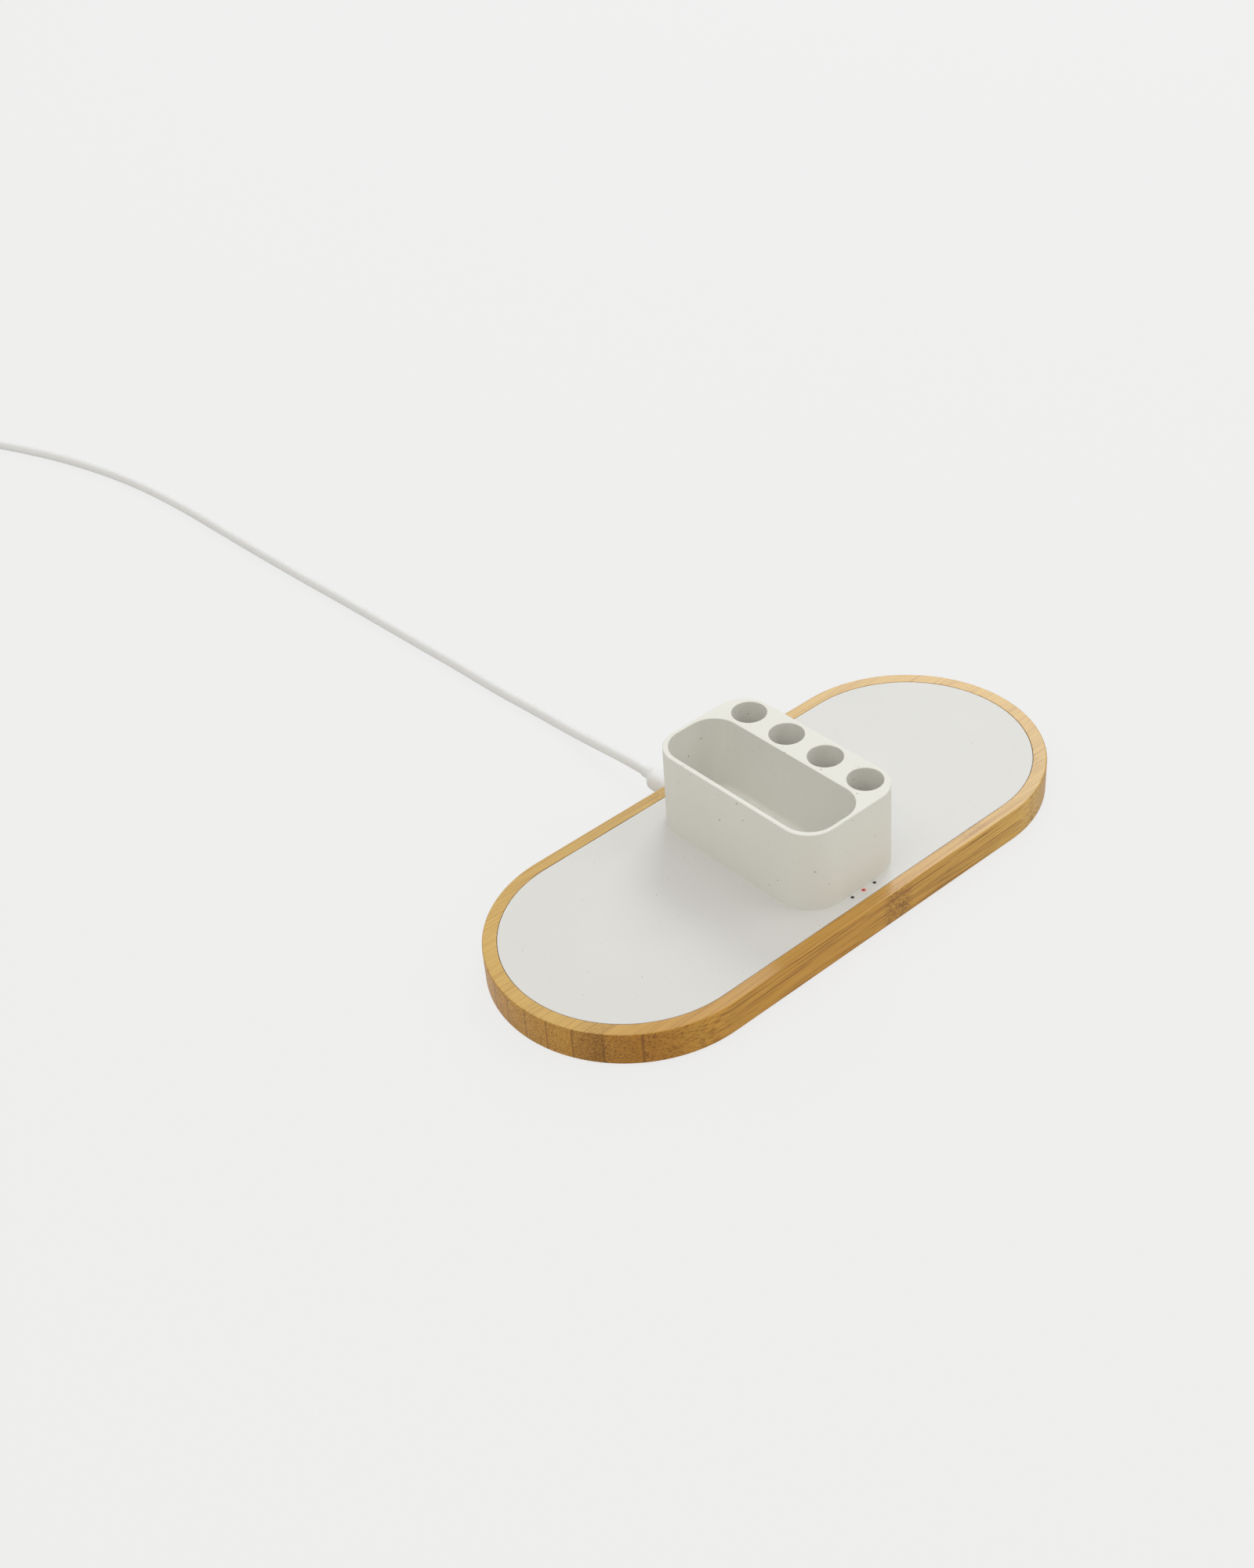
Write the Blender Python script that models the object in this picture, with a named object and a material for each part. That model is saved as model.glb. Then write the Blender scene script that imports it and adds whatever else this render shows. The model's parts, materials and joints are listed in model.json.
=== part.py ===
"""Wireless charging tray with a pen holder.

A bamboo frame holds a white moulded plate from above and a base plate from below. Two charging coils sit under
the ends of the plate, and a circuit board lies between them, under the pen holder. A USB-C lead plugs into the
back. Metres, +Z up, +X along the tray. The origin is on the desk, below the middle of the tray.
"""

import math
from dataclasses import dataclass

import bmesh
import bpy
from mathutils import Matrix, Vector

for leftover in list(bpy.data.objects):
    bpy.data.objects.remove(leftover)

# Fits between pieces
FIT_GAP = 0.0003
SCREW_GAP = 0.0002
LENS_GAP = 0.00015
SOCKET_GAP = 0.00025
CUT_OVERRUN = 0.001

# Tray and bamboo frame
TRAY_LENGTH = 0.2586
TRAY_WIDTH = 0.110
FRAME_HEIGHT = 0.0141
FRAME_RIM = 0.00586
LEDGE_WIDTH = 0.0025
FRAME_TOP_ROUND = 0.0010
FRAME_FOOT_ROUND = 0.0006
FRAME_INNER_ROUND = 0.0003

# Plates
PLATE_THICKNESS = 0.0020
PLATE_EDGE_ROUND = 0.0004
BASE_THICKNESS = 0.0024

# Rubber feet
FOOT_PROUD = 0.0010
FOOT_RADIUS = 0.0060
FOOT_RECESS = 0.0011
FOOT_EDGE_ROUND = 0.0003
FOOT_SPREAD = 0.0150
FOOT_SIDE_INSET = 0.0150

# Screws that close the tray
BASE_SCREW_SHANK_RADIUS = 0.0012
BASE_SCREW_HEAD_RADIUS = 0.0024
BASE_SCREW_HEAD_HEIGHT = 0.0013
BASE_SCREW_GRIP = 0.0060
BASE_SCREW_CUP_RADIUS = 0.0042
BASE_SCREW_CUP_HEIGHT = 0.0012
BASE_SCREW_SINK = 0.0002
BASE_BOSS_RADIUS = 0.0030
BASE_BOSS_INSET = 0.0050
BASE_BOSS_BOARD_GAP = 0.0070
PILOT_SPARE = 0.0005

# Shapes that every screw shares
SCREW_FACE_SHARE = 0.75
SCREW_TIP_SHARE = 0.3

# Pen holder, which stands a little off the middle of the tray
HOLDER_SHIFT_X = 0.00025
HOLDER_SHIFT_Y = -0.0005
HOLDER_HEIGHT = 0.0354
HOLDER_POCKET_WALL = 0.00202
HOLDER_WEB = 0.00186
HOLDER_WELL_WALL = 0.00161
HOLDER_END_WALL = 0.00163
HOLDER_CORNER_RADIUS = 0.01233
HOLDER_DRAFT_X = 0.00107
HOLDER_DRAFT_Y = 0.00150
HOLDER_CORNER_GROWTH = 0.0036
HOLDER_TOP_ROUND = 0.0005
HOLDER_BASE_ROUND = 0.0004
HOLDER_FLOOR = 0.0024
HOLDER_END_MARGIN = 0.00471
POCKET_X = 0.03049
POCKET_RADIUS = 0.01127
POCKET_DRAFT = 0.0006
POCKET_FLOOR_ROUND = 0.0020
MOUTH_ROUND = 0.0004
WELL_END_MARGIN = 0.00474
WELL_RADIUS = 0.00713
WELL_DRAFT = 0.0003
WELL_FLOOR_ROUND = 0.0015
WELL_WALL = 0.0018
WELL_LEAST_WEB = 0.0040
CORE_ROOF = 0.0040

# Screws that hold the pen holder from below
HOLDER_BOSS_RADIUS = 0.0026
HOLDER_SCREW_SHANK_RADIUS = 0.0010
HOLDER_SCREW_HEAD_RADIUS = 0.0036
HOLDER_SCREW_HEAD_HEIGHT = 0.0013
HOLDER_SCREW_GRIP = 0.0029
HOLDER_SCREW_SIDE_INSET = 0.0070
HOLDER_SCREW_END_INSET = 0.0130

# Circuit board
BOARD_X = 0.0480
BOARD_EDGE_GAP = 0.0004
BOARD_THICKNESS = 0.0012
BOARD_CORNER = 0.0020
BOARD_SCREW_INSET_X = 0.0035
BOARD_SCREW_INSET_Y = 0.0085
BOARD_SCREW_SHANK_RADIUS = 0.0008
BOARD_SCREW_HEAD_RADIUS = 0.0018
BOARD_SCREW_HEAD_HEIGHT = 0.0010
BOARD_SCREW_GRIP = 0.0026
BOARD_BOSS_RADIUS = 0.0024

# Parts soldered to the board's underside
INDUCTOR_SIZE = 0.0070
INDUCTOR_HEIGHT = 0.0040
INDUCTOR_CORNER = 0.0010
CHIP_SIZE = 0.0060
CHIP_HEIGHT = 0.0009
CHIP_CORNER = 0.0002
CAPACITOR_X = 0.0050
CAPACITOR_Y = 0.0057
CAPACITOR_HEIGHT = 0.0025
CAPACITOR_CORNER = 0.0003
CAPACITOR_PITCH = 0.0072
CAPACITOR_ROW_X = 0.0170
INDUCTOR_ROW_X = 0.0060
INDUCTOR_ROW_Y = 0.0180
CHIP_PITCH = 0.0090

# Indicator lights
LIGHT_SHIFT_X = 0.00075
LIGHT_PITCH = 0.00587
LIGHT_INSET = 0.00114
LENS_RADIUS = 0.00060
LENS_FLANGE_RADIUS = 0.00085
LENS_FLANGE_HEIGHT = 0.0004
LED_X = 0.0016
LED_Y = 0.0008
LED_HEIGHT = 0.0006
LED_CORNER = 0.0001

# Charging coils and their ferrite shields
COIL_INNER_RADIUS = 0.01025
COIL_PITCH = 0.0015
COIL_WIRE_RADIUS = 0.0005
COIL_TURNS = 8
COIL_DROP_TURNS = 0.25
COIL_LEAD_Y = 0.0060
COIL_LEAD_BEND = 0.0020
COIL_LEAD_SLOPE = 0.0040
COIL_LEAD_ON_BOARD = 0.0020
COIL_LEAD_GAP = 0.0005
FERRITE_SIZE = 0.0500
FERRITE_THICKNESS = 0.0015
FERRITE_CORNER = 0.0020
FERRITE_SLOT = 0.0022
NEST_WALL = 0.0012
NEST_GATE_MARGIN = 0.0030
NEST_GATE_SINK = 0.0002

# USB-C socket on the board
PLUG_AXIS_HEIGHT = 0.0064
SOCKET_WALL = 0.0003
SOCKET_LENGTH = 0.0088
SOCKET_BACK = 0.0008
TONGUE_X = 0.0067
TONGUE_THICKNESS = 0.0007
TONGUE_RECESS = 0.0007

# USB-C plug
PLUG_X = 0.00825
PLUG_THICKNESS = 0.0024
PLUG_REACH = 0.00665
PLUG_WALL = 0.0003
PLUG_CAVITY_BACK = 0.0006
PLUG_ROOT = 0.0020
GRIP_X = 0.0102
GRIP_THICKNESS = 0.0068
GRIP_CORNER = 0.0031
GRIP_PROUD = 0.0150
GRIP_END_ROUND = 0.0007
GRIP_SHOULDER = 0.0012
OPENING_GAP = 0.0005
PLUG_SEAT_GAP = 0.0005
GRIP_NECK_LENGTH = 0.0060
GRIP_NECK_ROOT_RADIUS = 0.0032

# Cord
CORD_RADIUS = 0.00225
NECK_WALL = 0.0004
CORD_STEP = 0.0100
# Route of the free cord: place across X, distance from the plug's neck along Y, and how much of the drop from
# the plug to the desk is still above it.
CORD_ROUTE = [
    (0.0000, 0.0000, 1.00),
    (0.0000, 0.0045, 0.98),
    (0.0001, 0.0135, 0.84),
    (0.0002, 0.0255, 0.60),
    (0.0003, 0.0390, 0.32),
    (0.0003, 0.0530, 0.13),
    (0.0001, 0.0660, 0.03),
    (-0.0006, 0.0800, 0.00),
    (-0.0015, 0.0950, 0.00),
    (-0.0024, 0.1260, 0.00),
    (-0.0035, 0.1510, 0.00),
    (-0.0046, 0.1780, 0.00),
    (-0.0059, 0.2070, 0.00),
    (-0.0075, 0.2370, 0.00),
    (-0.0089, 0.2690, 0.00),
    (-0.0099, 0.2980, 0.00),
    (-0.0106, 0.3230, 0.00),
    (-0.0118, 0.3490, 0.00),
    (-0.0148, 0.3790, 0.00),
    (-0.0205, 0.4090, 0.00),
    (-0.0290, 0.4390, 0.00),
    (-0.0405, 0.4690, 0.00),
    (-0.0530, 0.4960, 0.00),
    (-0.0585, 0.5070, 0.00),
]

# Cord put away in a coil
STORE_RADIUS = 0.0275
STORE_GAP = 0.0005
STORE_TURNS = 3.36
STORE_TURN_POINTS = 24
STORE_CLIMB_TURNS = 0.5
STORE_TAIL = 0.0450
STORE_TAIL_POINTS = 6

# USB-A plug on the far end
FAR_GRIP_X = 0.0155
FAR_GRIP_THICKNESS = 0.0080
FAR_GRIP_CORNER = 0.0022
FAR_GRIP_LENGTH = 0.0250
FAR_GRIP_END_ROUND = 0.0008
FAR_GRIP_SHOULDER = 0.0015
FAR_GRIP_NECK_LENGTH = 0.0080
FAR_GRIP_NECK_ROOT_RADIUS = 0.0034
FAR_SHELL_X = 0.0120
FAR_SHELL_THICKNESS = 0.0045
FAR_SHELL_CORNER = 0.0006
FAR_SHELL_WALL = 0.0003
FAR_SHELL_REACH = 0.0120
FAR_SHELL_ROOT = 0.0020
FAR_SHELL_BACK = 0.0008
FAR_INSERT_THICKNESS = 0.0018
FAR_INSERT_RECESS = 0.0008
FAR_INSERT_CORNER = 0.0002

# Counts
CAPACITOR_COUNT = 4

# Facets
END_STEPS = 32
CORNER_STEPS = 8
SMALL_CORNER_STEPS = 3
CHIP_CORNER_STEPS = 1
ROUND_STEPS = 3
WELL_STEPS = 24
BOSS_STEPS = 14
SCREW_STEPS = 10
FOOT_STEPS = 20
PLUG_CORNER_STEPS = 4
PLUG_END_STEPS = 8
COIL_TURN_POINTS = 20
COIL_BEVEL_STEPS = 0
STORE_BEVEL_STEPS = 1
CORD_BEVEL_STEPS = 2
GAP_SAMPLE_STEPS = 4
SMOOTH_ANGLE = math.radians(35)

# Heights, from the desk up
FRAME_BOTTOM = FOOT_PROUD
FRAME_TOP = FRAME_BOTTOM + FRAME_HEIGHT
PLATE_UNDERSIDE = FRAME_TOP - PLATE_THICKNESS
BASE_TOP = FRAME_BOTTOM + BASE_THICKNESS
LEDGE_TOP = PLATE_UNDERSIDE - FIT_GAP
LEDGE_BOTTOM = BASE_TOP + FIT_GAP
PLUG_AXIS_Z = FRAME_BOTTOM + PLUG_AXIS_HEIGHT
SOCKET_X = PLUG_X + 2 * (SOCKET_GAP + SOCKET_WALL)
SOCKET_THICKNESS = PLUG_THICKNESS + 2 * (SOCKET_GAP + SOCKET_WALL)
BOARD_BOTTOM = PLUG_AXIS_Z + SOCKET_THICKNESS / 2 + FIT_GAP
BOARD_TOP = BOARD_BOTTOM + BOARD_THICKNESS
SOLDER_FACE = BOARD_BOTTOM - FIT_GAP
COIL_Z = PLATE_UNDERSIDE - FIT_GAP - COIL_WIRE_RADIUS
FERRITE_TOP = COIL_Z - COIL_WIRE_RADIUS - FIT_GAP
FERRITE_BOTTOM = FERRITE_TOP - FERRITE_THICKNESS
HOLDER_BOTTOM = FRAME_TOP + FIT_GAP
HOLDER_TOP = FRAME_TOP + HOLDER_HEIGHT

# Places along and across the tray
END_CENTRE_X = (TRAY_LENGTH - TRAY_WIDTH) / 2
LEDGE_INSET = FRAME_RIM + LEDGE_WIDTH
PLATE_INSET = FRAME_RIM + FIT_GAP
INNER_HALF_Y = TRAY_WIDTH / 2 - LEDGE_INSET
BOARD_HALF_Y = INNER_HALF_Y - BOARD_EDGE_GAP
LIGHT_Y = LIGHT_INSET - INNER_HALF_Y
SOCKET_MOUTH_Y = INNER_HALF_Y - FIT_GAP
HOLDER_TOP_X = HOLDER_POCKET_WALL + POCKET_X + HOLDER_WEB + 2 * WELL_RADIUS + HOLDER_WELL_WALL
HOLDER_TOP_Y = TRAY_WIDTH - 2 * (PLATE_INSET + HOLDER_END_MARGIN + HOLDER_DRAFT_Y)
POCKET_Y = HOLDER_TOP_Y - 2 * HOLDER_END_WALL
POCKET_CENTRE_X = HOLDER_SHIFT_X - HOLDER_TOP_X / 2 + HOLDER_POCKET_WALL + POCKET_X / 2
WELL_X = HOLDER_SHIFT_X + HOLDER_TOP_X / 2 - HOLDER_WELL_WALL - WELL_RADIUS
WELL_ROW = HOLDER_TOP_Y - 2 * WELL_END_MARGIN
WELL_COUNT = math.floor((WELL_ROW + WELL_LEAST_WEB) / (2 * WELL_RADIUS + WELL_LEAST_WEB))
WELL_PITCH = (WELL_ROW - 2 * WELL_RADIUS) / (WELL_COUNT - 1)
BASE_BOSS_X = BOARD_X / 2 + BASE_BOSS_BOARD_GAP + BASE_BOSS_RADIUS
PLUG_FACE_Y = SOCKET_MOUTH_Y + PLUG_SEAT_GAP
GRIP_LENGTH = TRAY_WIDTH / 2 + GRIP_PROUD - PLUG_FACE_Y
CORD_EXIT_Y = TRAY_WIDTH / 2 + GRIP_PROUD + GRIP_NECK_LENGTH + FIT_GAP
COIL_RETURN_Y = -COIL_LEAD_BEND
BASE_SCREW_PLACES = [
    (side_x * BASE_BOSS_X, side_y * (INNER_HALF_Y - BASE_BOSS_INSET))
    for side_x in (-1, 1)
    for side_y in (-1, 1)
] + [(side_x * (TRAY_LENGTH / 2 - LEDGE_INSET - BASE_BOSS_INSET), 0) for side_x in (-1, 1)]
BOARD_SCREW_PLACES = [
    (side_x * (BOARD_X / 2 - BOARD_SCREW_INSET_X), side_y * (BOARD_HALF_Y - BOARD_SCREW_INSET_Y))
    for side_x in (-1, 1)
    for side_y in (-1, 1)
]
HOLDER_SCREW_X = POCKET_CENTRE_X - POCKET_X / 2 + HOLDER_SCREW_SIDE_INSET
HOLDER_SCREW_PLACES = [
    (HOLDER_SCREW_X, HOLDER_SHIFT_Y + side * (POCKET_Y / 2 - HOLDER_SCREW_END_INSET)) for side in (-1, 1)
] + [(WELL_X, HOLDER_SHIFT_Y + side * WELL_PITCH) for side in (-1, 1)]
FOOT_PLACES = [
    (side_x * (END_CENTRE_X + FOOT_SPREAD), side_y * (INNER_HALF_Y - FOOT_SIDE_INSET))
    for side_x in (-1, 1)
    for side_y in (-1, 1)
]
WELL_PLACES = [
    (WELL_X, HOLDER_SHIFT_Y + (number - (WELL_COUNT - 1) / 2) * WELL_PITCH) for number in range(WELL_COUNT)
]
LIGHT_PLACES = [(LIGHT_SHIFT_X + number * LIGHT_PITCH, LIGHT_Y) for number in (-1, 0, 1)]


# Outlines, as lists of (x, y), counterclockwise


def arc(centre_x, centre_y, radius, start, stop, steps):
    """Points along an arc, both ends included."""
    angles = [start + (stop - start) * step / steps for step in range(steps + 1)]
    return [(centre_x + radius * math.cos(a), centre_y + radius * math.sin(a)) for a in angles]


def stadium(size_x, size_y, steps):
    """A shape with straight long sides and round ends."""
    radius = size_y / 2
    reach = size_x / 2 - radius
    right = arc(reach, 0, radius, -math.pi / 2, math.pi / 2, steps)
    left = arc(-reach, 0, radius, math.pi / 2, 3 * math.pi / 2, steps)
    return right + left


def tray_outline(inset):
    """The tray's outline, drawn in by an inset."""
    return stadium(TRAY_LENGTH - 2 * inset, TRAY_WIDTH - 2 * inset, END_STEPS)


def rounded_rectangle(size_x, size_y, radius, steps, centre=(0, 0)):
    """A rectangle with round corners."""
    reach_x, reach_y = size_x / 2 - radius, size_y / 2 - radius
    points = []
    for quarter, (sign_x, sign_y) in enumerate(((1, 1), (-1, 1), (-1, -1), (1, -1))):
        start = quarter * math.pi / 2
        corner_x, corner_y = centre[0] + sign_x * reach_x, centre[1] + sign_y * reach_y
        points += arc(corner_x, corner_y, radius, start, start + math.pi / 2, steps)
    return points


def circle(radius, steps, centre=(0, 0)):
    """A circle without a repeated last point."""
    return arc(centre[0], centre[1], radius, 0, 2 * math.pi, steps)[:-1]


def circle_like_corners(radius, steps):
    """A circle whose points answer those of a rounded rectangle, one to one."""
    count = 4 * (steps + 1)
    first = math.pi / count
    return arc(0, 0, radius, first, first + 2 * math.pi, count)[:-1]


def level(outline, height):
    """An outline at one height."""
    return [Vector((x, y, height)) for x, y in outline]


def quarter_round(radius, steps):
    """(drawn in, still to go) along a rounded edge, from the side wall to the flat face."""
    angles = [math.pi / 2 * step / steps for step in range(steps + 1)]
    return [(radius * (1 - math.cos(a)), radius * (1 - math.sin(a))) for a in angles]


# Solids


class Solid:
    """Collects closed skins and turns them into one mesh object."""

    def __init__(self):
        self.mesh = bmesh.new()

    def skin(self, rings, looped=False):
        """Joins rings of equal length into a closed body, with flat ends or, if looped, back to the first."""
        rows = [[self.mesh.verts.new(point) for point in ring] for ring in rings]
        pairs = list(zip(rows, rows[1:]))
        if looped:
            pairs.append((rows[-1], rows[0]))
        faces = []
        for low, high in pairs:
            for index in range(len(low)):
                after = (index + 1) % len(low)
                faces.append(self.mesh.faces.new((low[index], low[after], high[after], high[index])))
        if not looped:
            faces.append(self.mesh.faces.new(rows[0][::-1]))
            faces.append(self.mesh.faces.new(rows[-1]))
        bmesh.ops.recalc_face_normals(self.mesh, faces=faces)
        return self

    def prism(self, outline, bottom, top):
        """A straight body with this outline."""
        return self.skin([level(outline, bottom), level(outline, top)])

    def turned(self, profile, steps, centre=(0, 0)):
        """A body turned from (radius, height) points, first to last."""
        return self.skin([level(circle(radius, steps, centre), height) for radius, height in profile])

    def placed(self, name, place):
        """The collected bodies as one object in the scene."""
        data = bpy.data.meshes.new(name)
        self.mesh.to_mesh(data)
        self.mesh.free()
        made = bpy.data.objects.new(name, data)
        made.matrix_world = place or Matrix.Identity(4)
        bpy.context.scene.collection.objects.link(made)
        return made

    def finish(self, name, material, place=None):
        """A visible piece, shaded smooth up to its real edges."""
        made = self.placed(name, place)
        made.data.shade_smooth()
        made.data.set_sharp_from_angle(angle=SMOOTH_ANGLE)
        made.data.materials.append(material)
        return made

    def tool(self, name, place=None):
        """A helper for a Boolean, which no render shows."""
        made = self.placed(name, place)
        made.hide_render = True
        made.display_type = "WIRE"
        return made


def repeated(name, body, places, material):
    """One body at several places: numbered objects that share a mesh."""
    first = body.finish(f"{name}_1", material, Matrix.Translation((*places[0], 0)))
    for number, place in enumerate(places[1:], 2):
        copy = bpy.data.objects.new(f"{name}_{number}", first.data)
        copy.location = (*place, 0)
        bpy.context.scene.collection.objects.link(copy)


def combine(target, tool, operation):
    """Adds a Boolean to the target."""
    modifier = target.modifiers.new(tool.name, "BOOLEAN")
    modifier.operation = operation
    modifier.solver = "EXACT"
    modifier.object = tool


def linear(colour):
    """Scene colour of a screen colour written as six hex digits."""
    shares = [int(colour[start:start + 2], 16) / 255 for start in (0, 2, 4)]
    return [share / 12.92 if share <= 0.04045 else ((share + 0.055) / 1.055) ** 2.4 for share in shares]


def finish_of(name, colour, roughness, metallic=0.0):
    """A plain Principled material."""
    made = bpy.data.materials.new(name)
    made.use_nodes = True
    shader = made.node_tree.nodes["Principled BSDF"]
    shader.inputs["Base Color"].default_value = (*linear(colour), 1)
    shader.inputs["Roughness"].default_value = roughness
    shader.inputs["Metallic"].default_value = metallic
    made.diffuse_color = (*linear(colour), 1)
    return made


# Tray


def bamboo_frame():
    """The routed bamboo frame: a stadium ring with a ledge between two rebates, and an opening for the plug."""
    profile = []
    for drawn_in, to_go in reversed(quarter_round(FRAME_FOOT_ROUND, ROUND_STEPS)):
        profile.append((drawn_in, FRAME_BOTTOM + to_go))
    for drawn_in, to_go in quarter_round(FRAME_TOP_ROUND, ROUND_STEPS):
        profile.append((drawn_in, FRAME_TOP - to_go))
    profile.append((FRAME_RIM - FRAME_INNER_ROUND, FRAME_TOP))
    profile.append((FRAME_RIM, FRAME_TOP - FRAME_INNER_ROUND))
    profile.append((FRAME_RIM, LEDGE_TOP))
    profile.append((LEDGE_INSET, LEDGE_TOP))
    profile.append((LEDGE_INSET, LEDGE_BOTTOM))
    profile.append((FRAME_RIM, LEDGE_BOTTOM))
    profile.append((FRAME_RIM, FRAME_BOTTOM))
    rings = [level(tray_outline(inset), height) for inset, height in profile]
    frame = Solid().skin(rings, looped=True).finish("bamboo_frame", BAMBOO)
    opening_x = GRIP_X + 2 * OPENING_GAP
    opening_z = GRIP_THICKNESS + 2 * OPENING_GAP
    outline = rounded_rectangle(opening_x, opening_z, GRIP_CORNER + OPENING_GAP, PLUG_CORNER_STEPS)
    start, stop = INNER_HALF_Y - CUT_OVERRUN, TRAY_WIDTH / 2 + CUT_OVERRUN
    opening = Solid().prism(outline, start, stop).tool("plug_opening_cut", along_y(0))
    combine(frame, opening, "DIFFERENCE")
    return frame


def along_y(start_y):
    """Lays a body that was made along Z on the plug's axis, with its zero at this Y and its end towards +Y."""
    return Matrix.Translation((0, start_y, PLUG_AXIS_Z)) @ Matrix.Rotation(-math.pi / 2, 4, "X")


def top_plate():
    """The white plate, with the bosses and coil nests moulded under it."""
    rings = [level(tray_outline(PLATE_INSET), PLATE_UNDERSIDE)]
    for drawn_in, to_go in quarter_round(PLATE_EDGE_ROUND, ROUND_STEPS):
        rings.append(level(tray_outline(PLATE_INSET + drawn_in), FRAME_TOP - to_go))
    plate = Solid().skin(rings).finish("top_plate", WHITE_COMPOSITE)

    moulded = Solid()
    inside = PLATE_UNDERSIDE + PLATE_THICKNESS / 2
    for place in BASE_SCREW_PLACES:
        bottom = BASE_TOP + BASE_SCREW_CUP_HEIGHT + FIT_GAP
        moulded.turned([(BASE_BOSS_RADIUS, bottom), (BASE_BOSS_RADIUS, inside)], BOSS_STEPS, place)
    for place in BOARD_SCREW_PLACES:
        bottom = BOARD_TOP + FIT_GAP
        moulded.turned([(BOARD_BOSS_RADIUS, bottom), (BOARD_BOSS_RADIUS, inside)], BOSS_STEPS, place)
    for side in (-1, 1):
        nest_inside = FERRITE_SIZE + 2 * FIT_GAP
        nest_outside = nest_inside + 2 * NEST_WALL
        corner = FERRITE_CORNER + FIT_GAP
        centre = (side * END_CENTRE_X, 0)
        outer = rounded_rectangle(nest_outside, nest_outside, corner + NEST_WALL, SMALL_CORNER_STEPS, centre)
        inner = rounded_rectangle(nest_inside, nest_inside, corner, SMALL_CORNER_STEPS, centre)
        heights = (FERRITE_BOTTOM, inside)
        moulded.skin([level(outer, heights[0]), level(outer, heights[1]), level(inner, heights[1]),
                      level(inner, heights[0])], looped=True)
    combine(plate, moulded.tool("plate_bosses"), "UNION")

    holes = Solid()
    for place in BASE_SCREW_PLACES:
        holes.turned([(BASE_SCREW_SHANK_RADIUS + SCREW_GAP, BASE_TOP),
                      (BASE_SCREW_SHANK_RADIUS + SCREW_GAP, base_screw_top() + PILOT_SPARE)], SCREW_STEPS, place)
    for place in BOARD_SCREW_PLACES:
        holes.turned([(BOARD_SCREW_SHANK_RADIUS + SCREW_GAP, BOARD_BOTTOM),
                      (BOARD_SCREW_SHANK_RADIUS + SCREW_GAP, board_screw_top() + PILOT_SPARE)], SCREW_STEPS, place)
    for place in HOLDER_SCREW_PLACES:
        holes.turned([(HOLDER_BOSS_RADIUS + FIT_GAP, PLATE_UNDERSIDE - CUT_OVERRUN),
                      (HOLDER_BOSS_RADIUS + FIT_GAP, FRAME_TOP + CUT_OVERRUN)], BOSS_STEPS, place)
    for place in LIGHT_PLACES:
        holes.turned([(LENS_RADIUS + LENS_GAP, PLATE_UNDERSIDE - CUT_OVERRUN),
                      (LENS_RADIUS + LENS_GAP, FRAME_TOP + CUT_OVERRUN)], BOSS_STEPS, place)
    for side in (-1, 1):
        gate_x = side * (END_CENTRE_X - FERRITE_SIZE / 2)
        gate_y = 2 * (COIL_LEAD_Y + NEST_GATE_MARGIN)
        gate_reach = 2 * (NEST_WALL + CUT_OVERRUN)
        gate = rounded_rectangle(gate_reach, gate_y, NEST_WALL / 2, SMALL_CORNER_STEPS, (gate_x, 0))
        holes.prism(gate, FERRITE_BOTTOM - CUT_OVERRUN, PLATE_UNDERSIDE + NEST_GATE_SINK)
    combine(plate, holes.tool("plate_holes"), "DIFFERENCE")
    return plate


def base_plate():
    """The bottom cover, with cups for its screws and recesses for the feet."""
    outline = tray_outline(PLATE_INSET)
    plate = Solid().prism(outline, FRAME_BOTTOM, BASE_TOP).finish("base_plate", BASE_PLASTIC)
    cups = Solid()
    for place in BASE_SCREW_PLACES:
        cups.turned([(BASE_SCREW_CUP_RADIUS, BASE_TOP - BASE_THICKNESS / 2),
                     (BASE_SCREW_CUP_RADIUS, BASE_TOP + BASE_SCREW_CUP_HEIGHT)], BOSS_STEPS, place)
    combine(plate, cups.tool("base_cups"), "UNION")
    holes = Solid()
    seat = base_screw_seat()
    for place in BASE_SCREW_PLACES:
        head, shank = BASE_SCREW_HEAD_RADIUS + FIT_GAP, BASE_SCREW_SHANK_RADIUS + FIT_GAP
        holes.turned([(head, FRAME_BOTTOM - CUT_OVERRUN), (head, seat), (shank, seat),
                      (shank, BASE_TOP + BASE_SCREW_CUP_HEIGHT + CUT_OVERRUN)], SCREW_STEPS, place)
    for place in FOOT_PLACES:
        radius = FOOT_RADIUS + FIT_GAP
        holes.turned([(radius, FRAME_BOTTOM - CUT_OVERRUN), (radius, FRAME_BOTTOM + FOOT_RECESS + FIT_GAP)],
                     FOOT_STEPS, place)
    combine(plate, holes.tool("base_holes"), "DIFFERENCE")
    return plate


def base_screw_seat():
    """Height of the face that a closing screw's head bears on."""
    return FRAME_BOTTOM + BASE_SCREW_SINK + BASE_SCREW_HEAD_HEIGHT + FIT_GAP


def rubber_feet():
    """Round feet, each let into the base plate."""
    foot = Solid().turned([(FOOT_RADIUS - FOOT_EDGE_ROUND, 0), (FOOT_RADIUS, FOOT_EDGE_ROUND),
                           (FOOT_RADIUS, FRAME_BOTTOM + FOOT_RECESS)], FOOT_STEPS)
    repeated("rubber_foot", foot, FOOT_PLACES, RUBBER)


def screw(head_top, head_height, head_radius, shank_radius, tip):
    """An upright pan-head screw whose head is at the bottom."""
    face = head_top - head_height
    return Solid().turned([(head_radius * SCREW_FACE_SHARE, face), (head_radius, face + head_height / 2),
                           (head_radius, head_top), (shank_radius, head_top), (shank_radius, tip - shank_radius),
                           (shank_radius * SCREW_TIP_SHARE, tip)], SCREW_STEPS)


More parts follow.
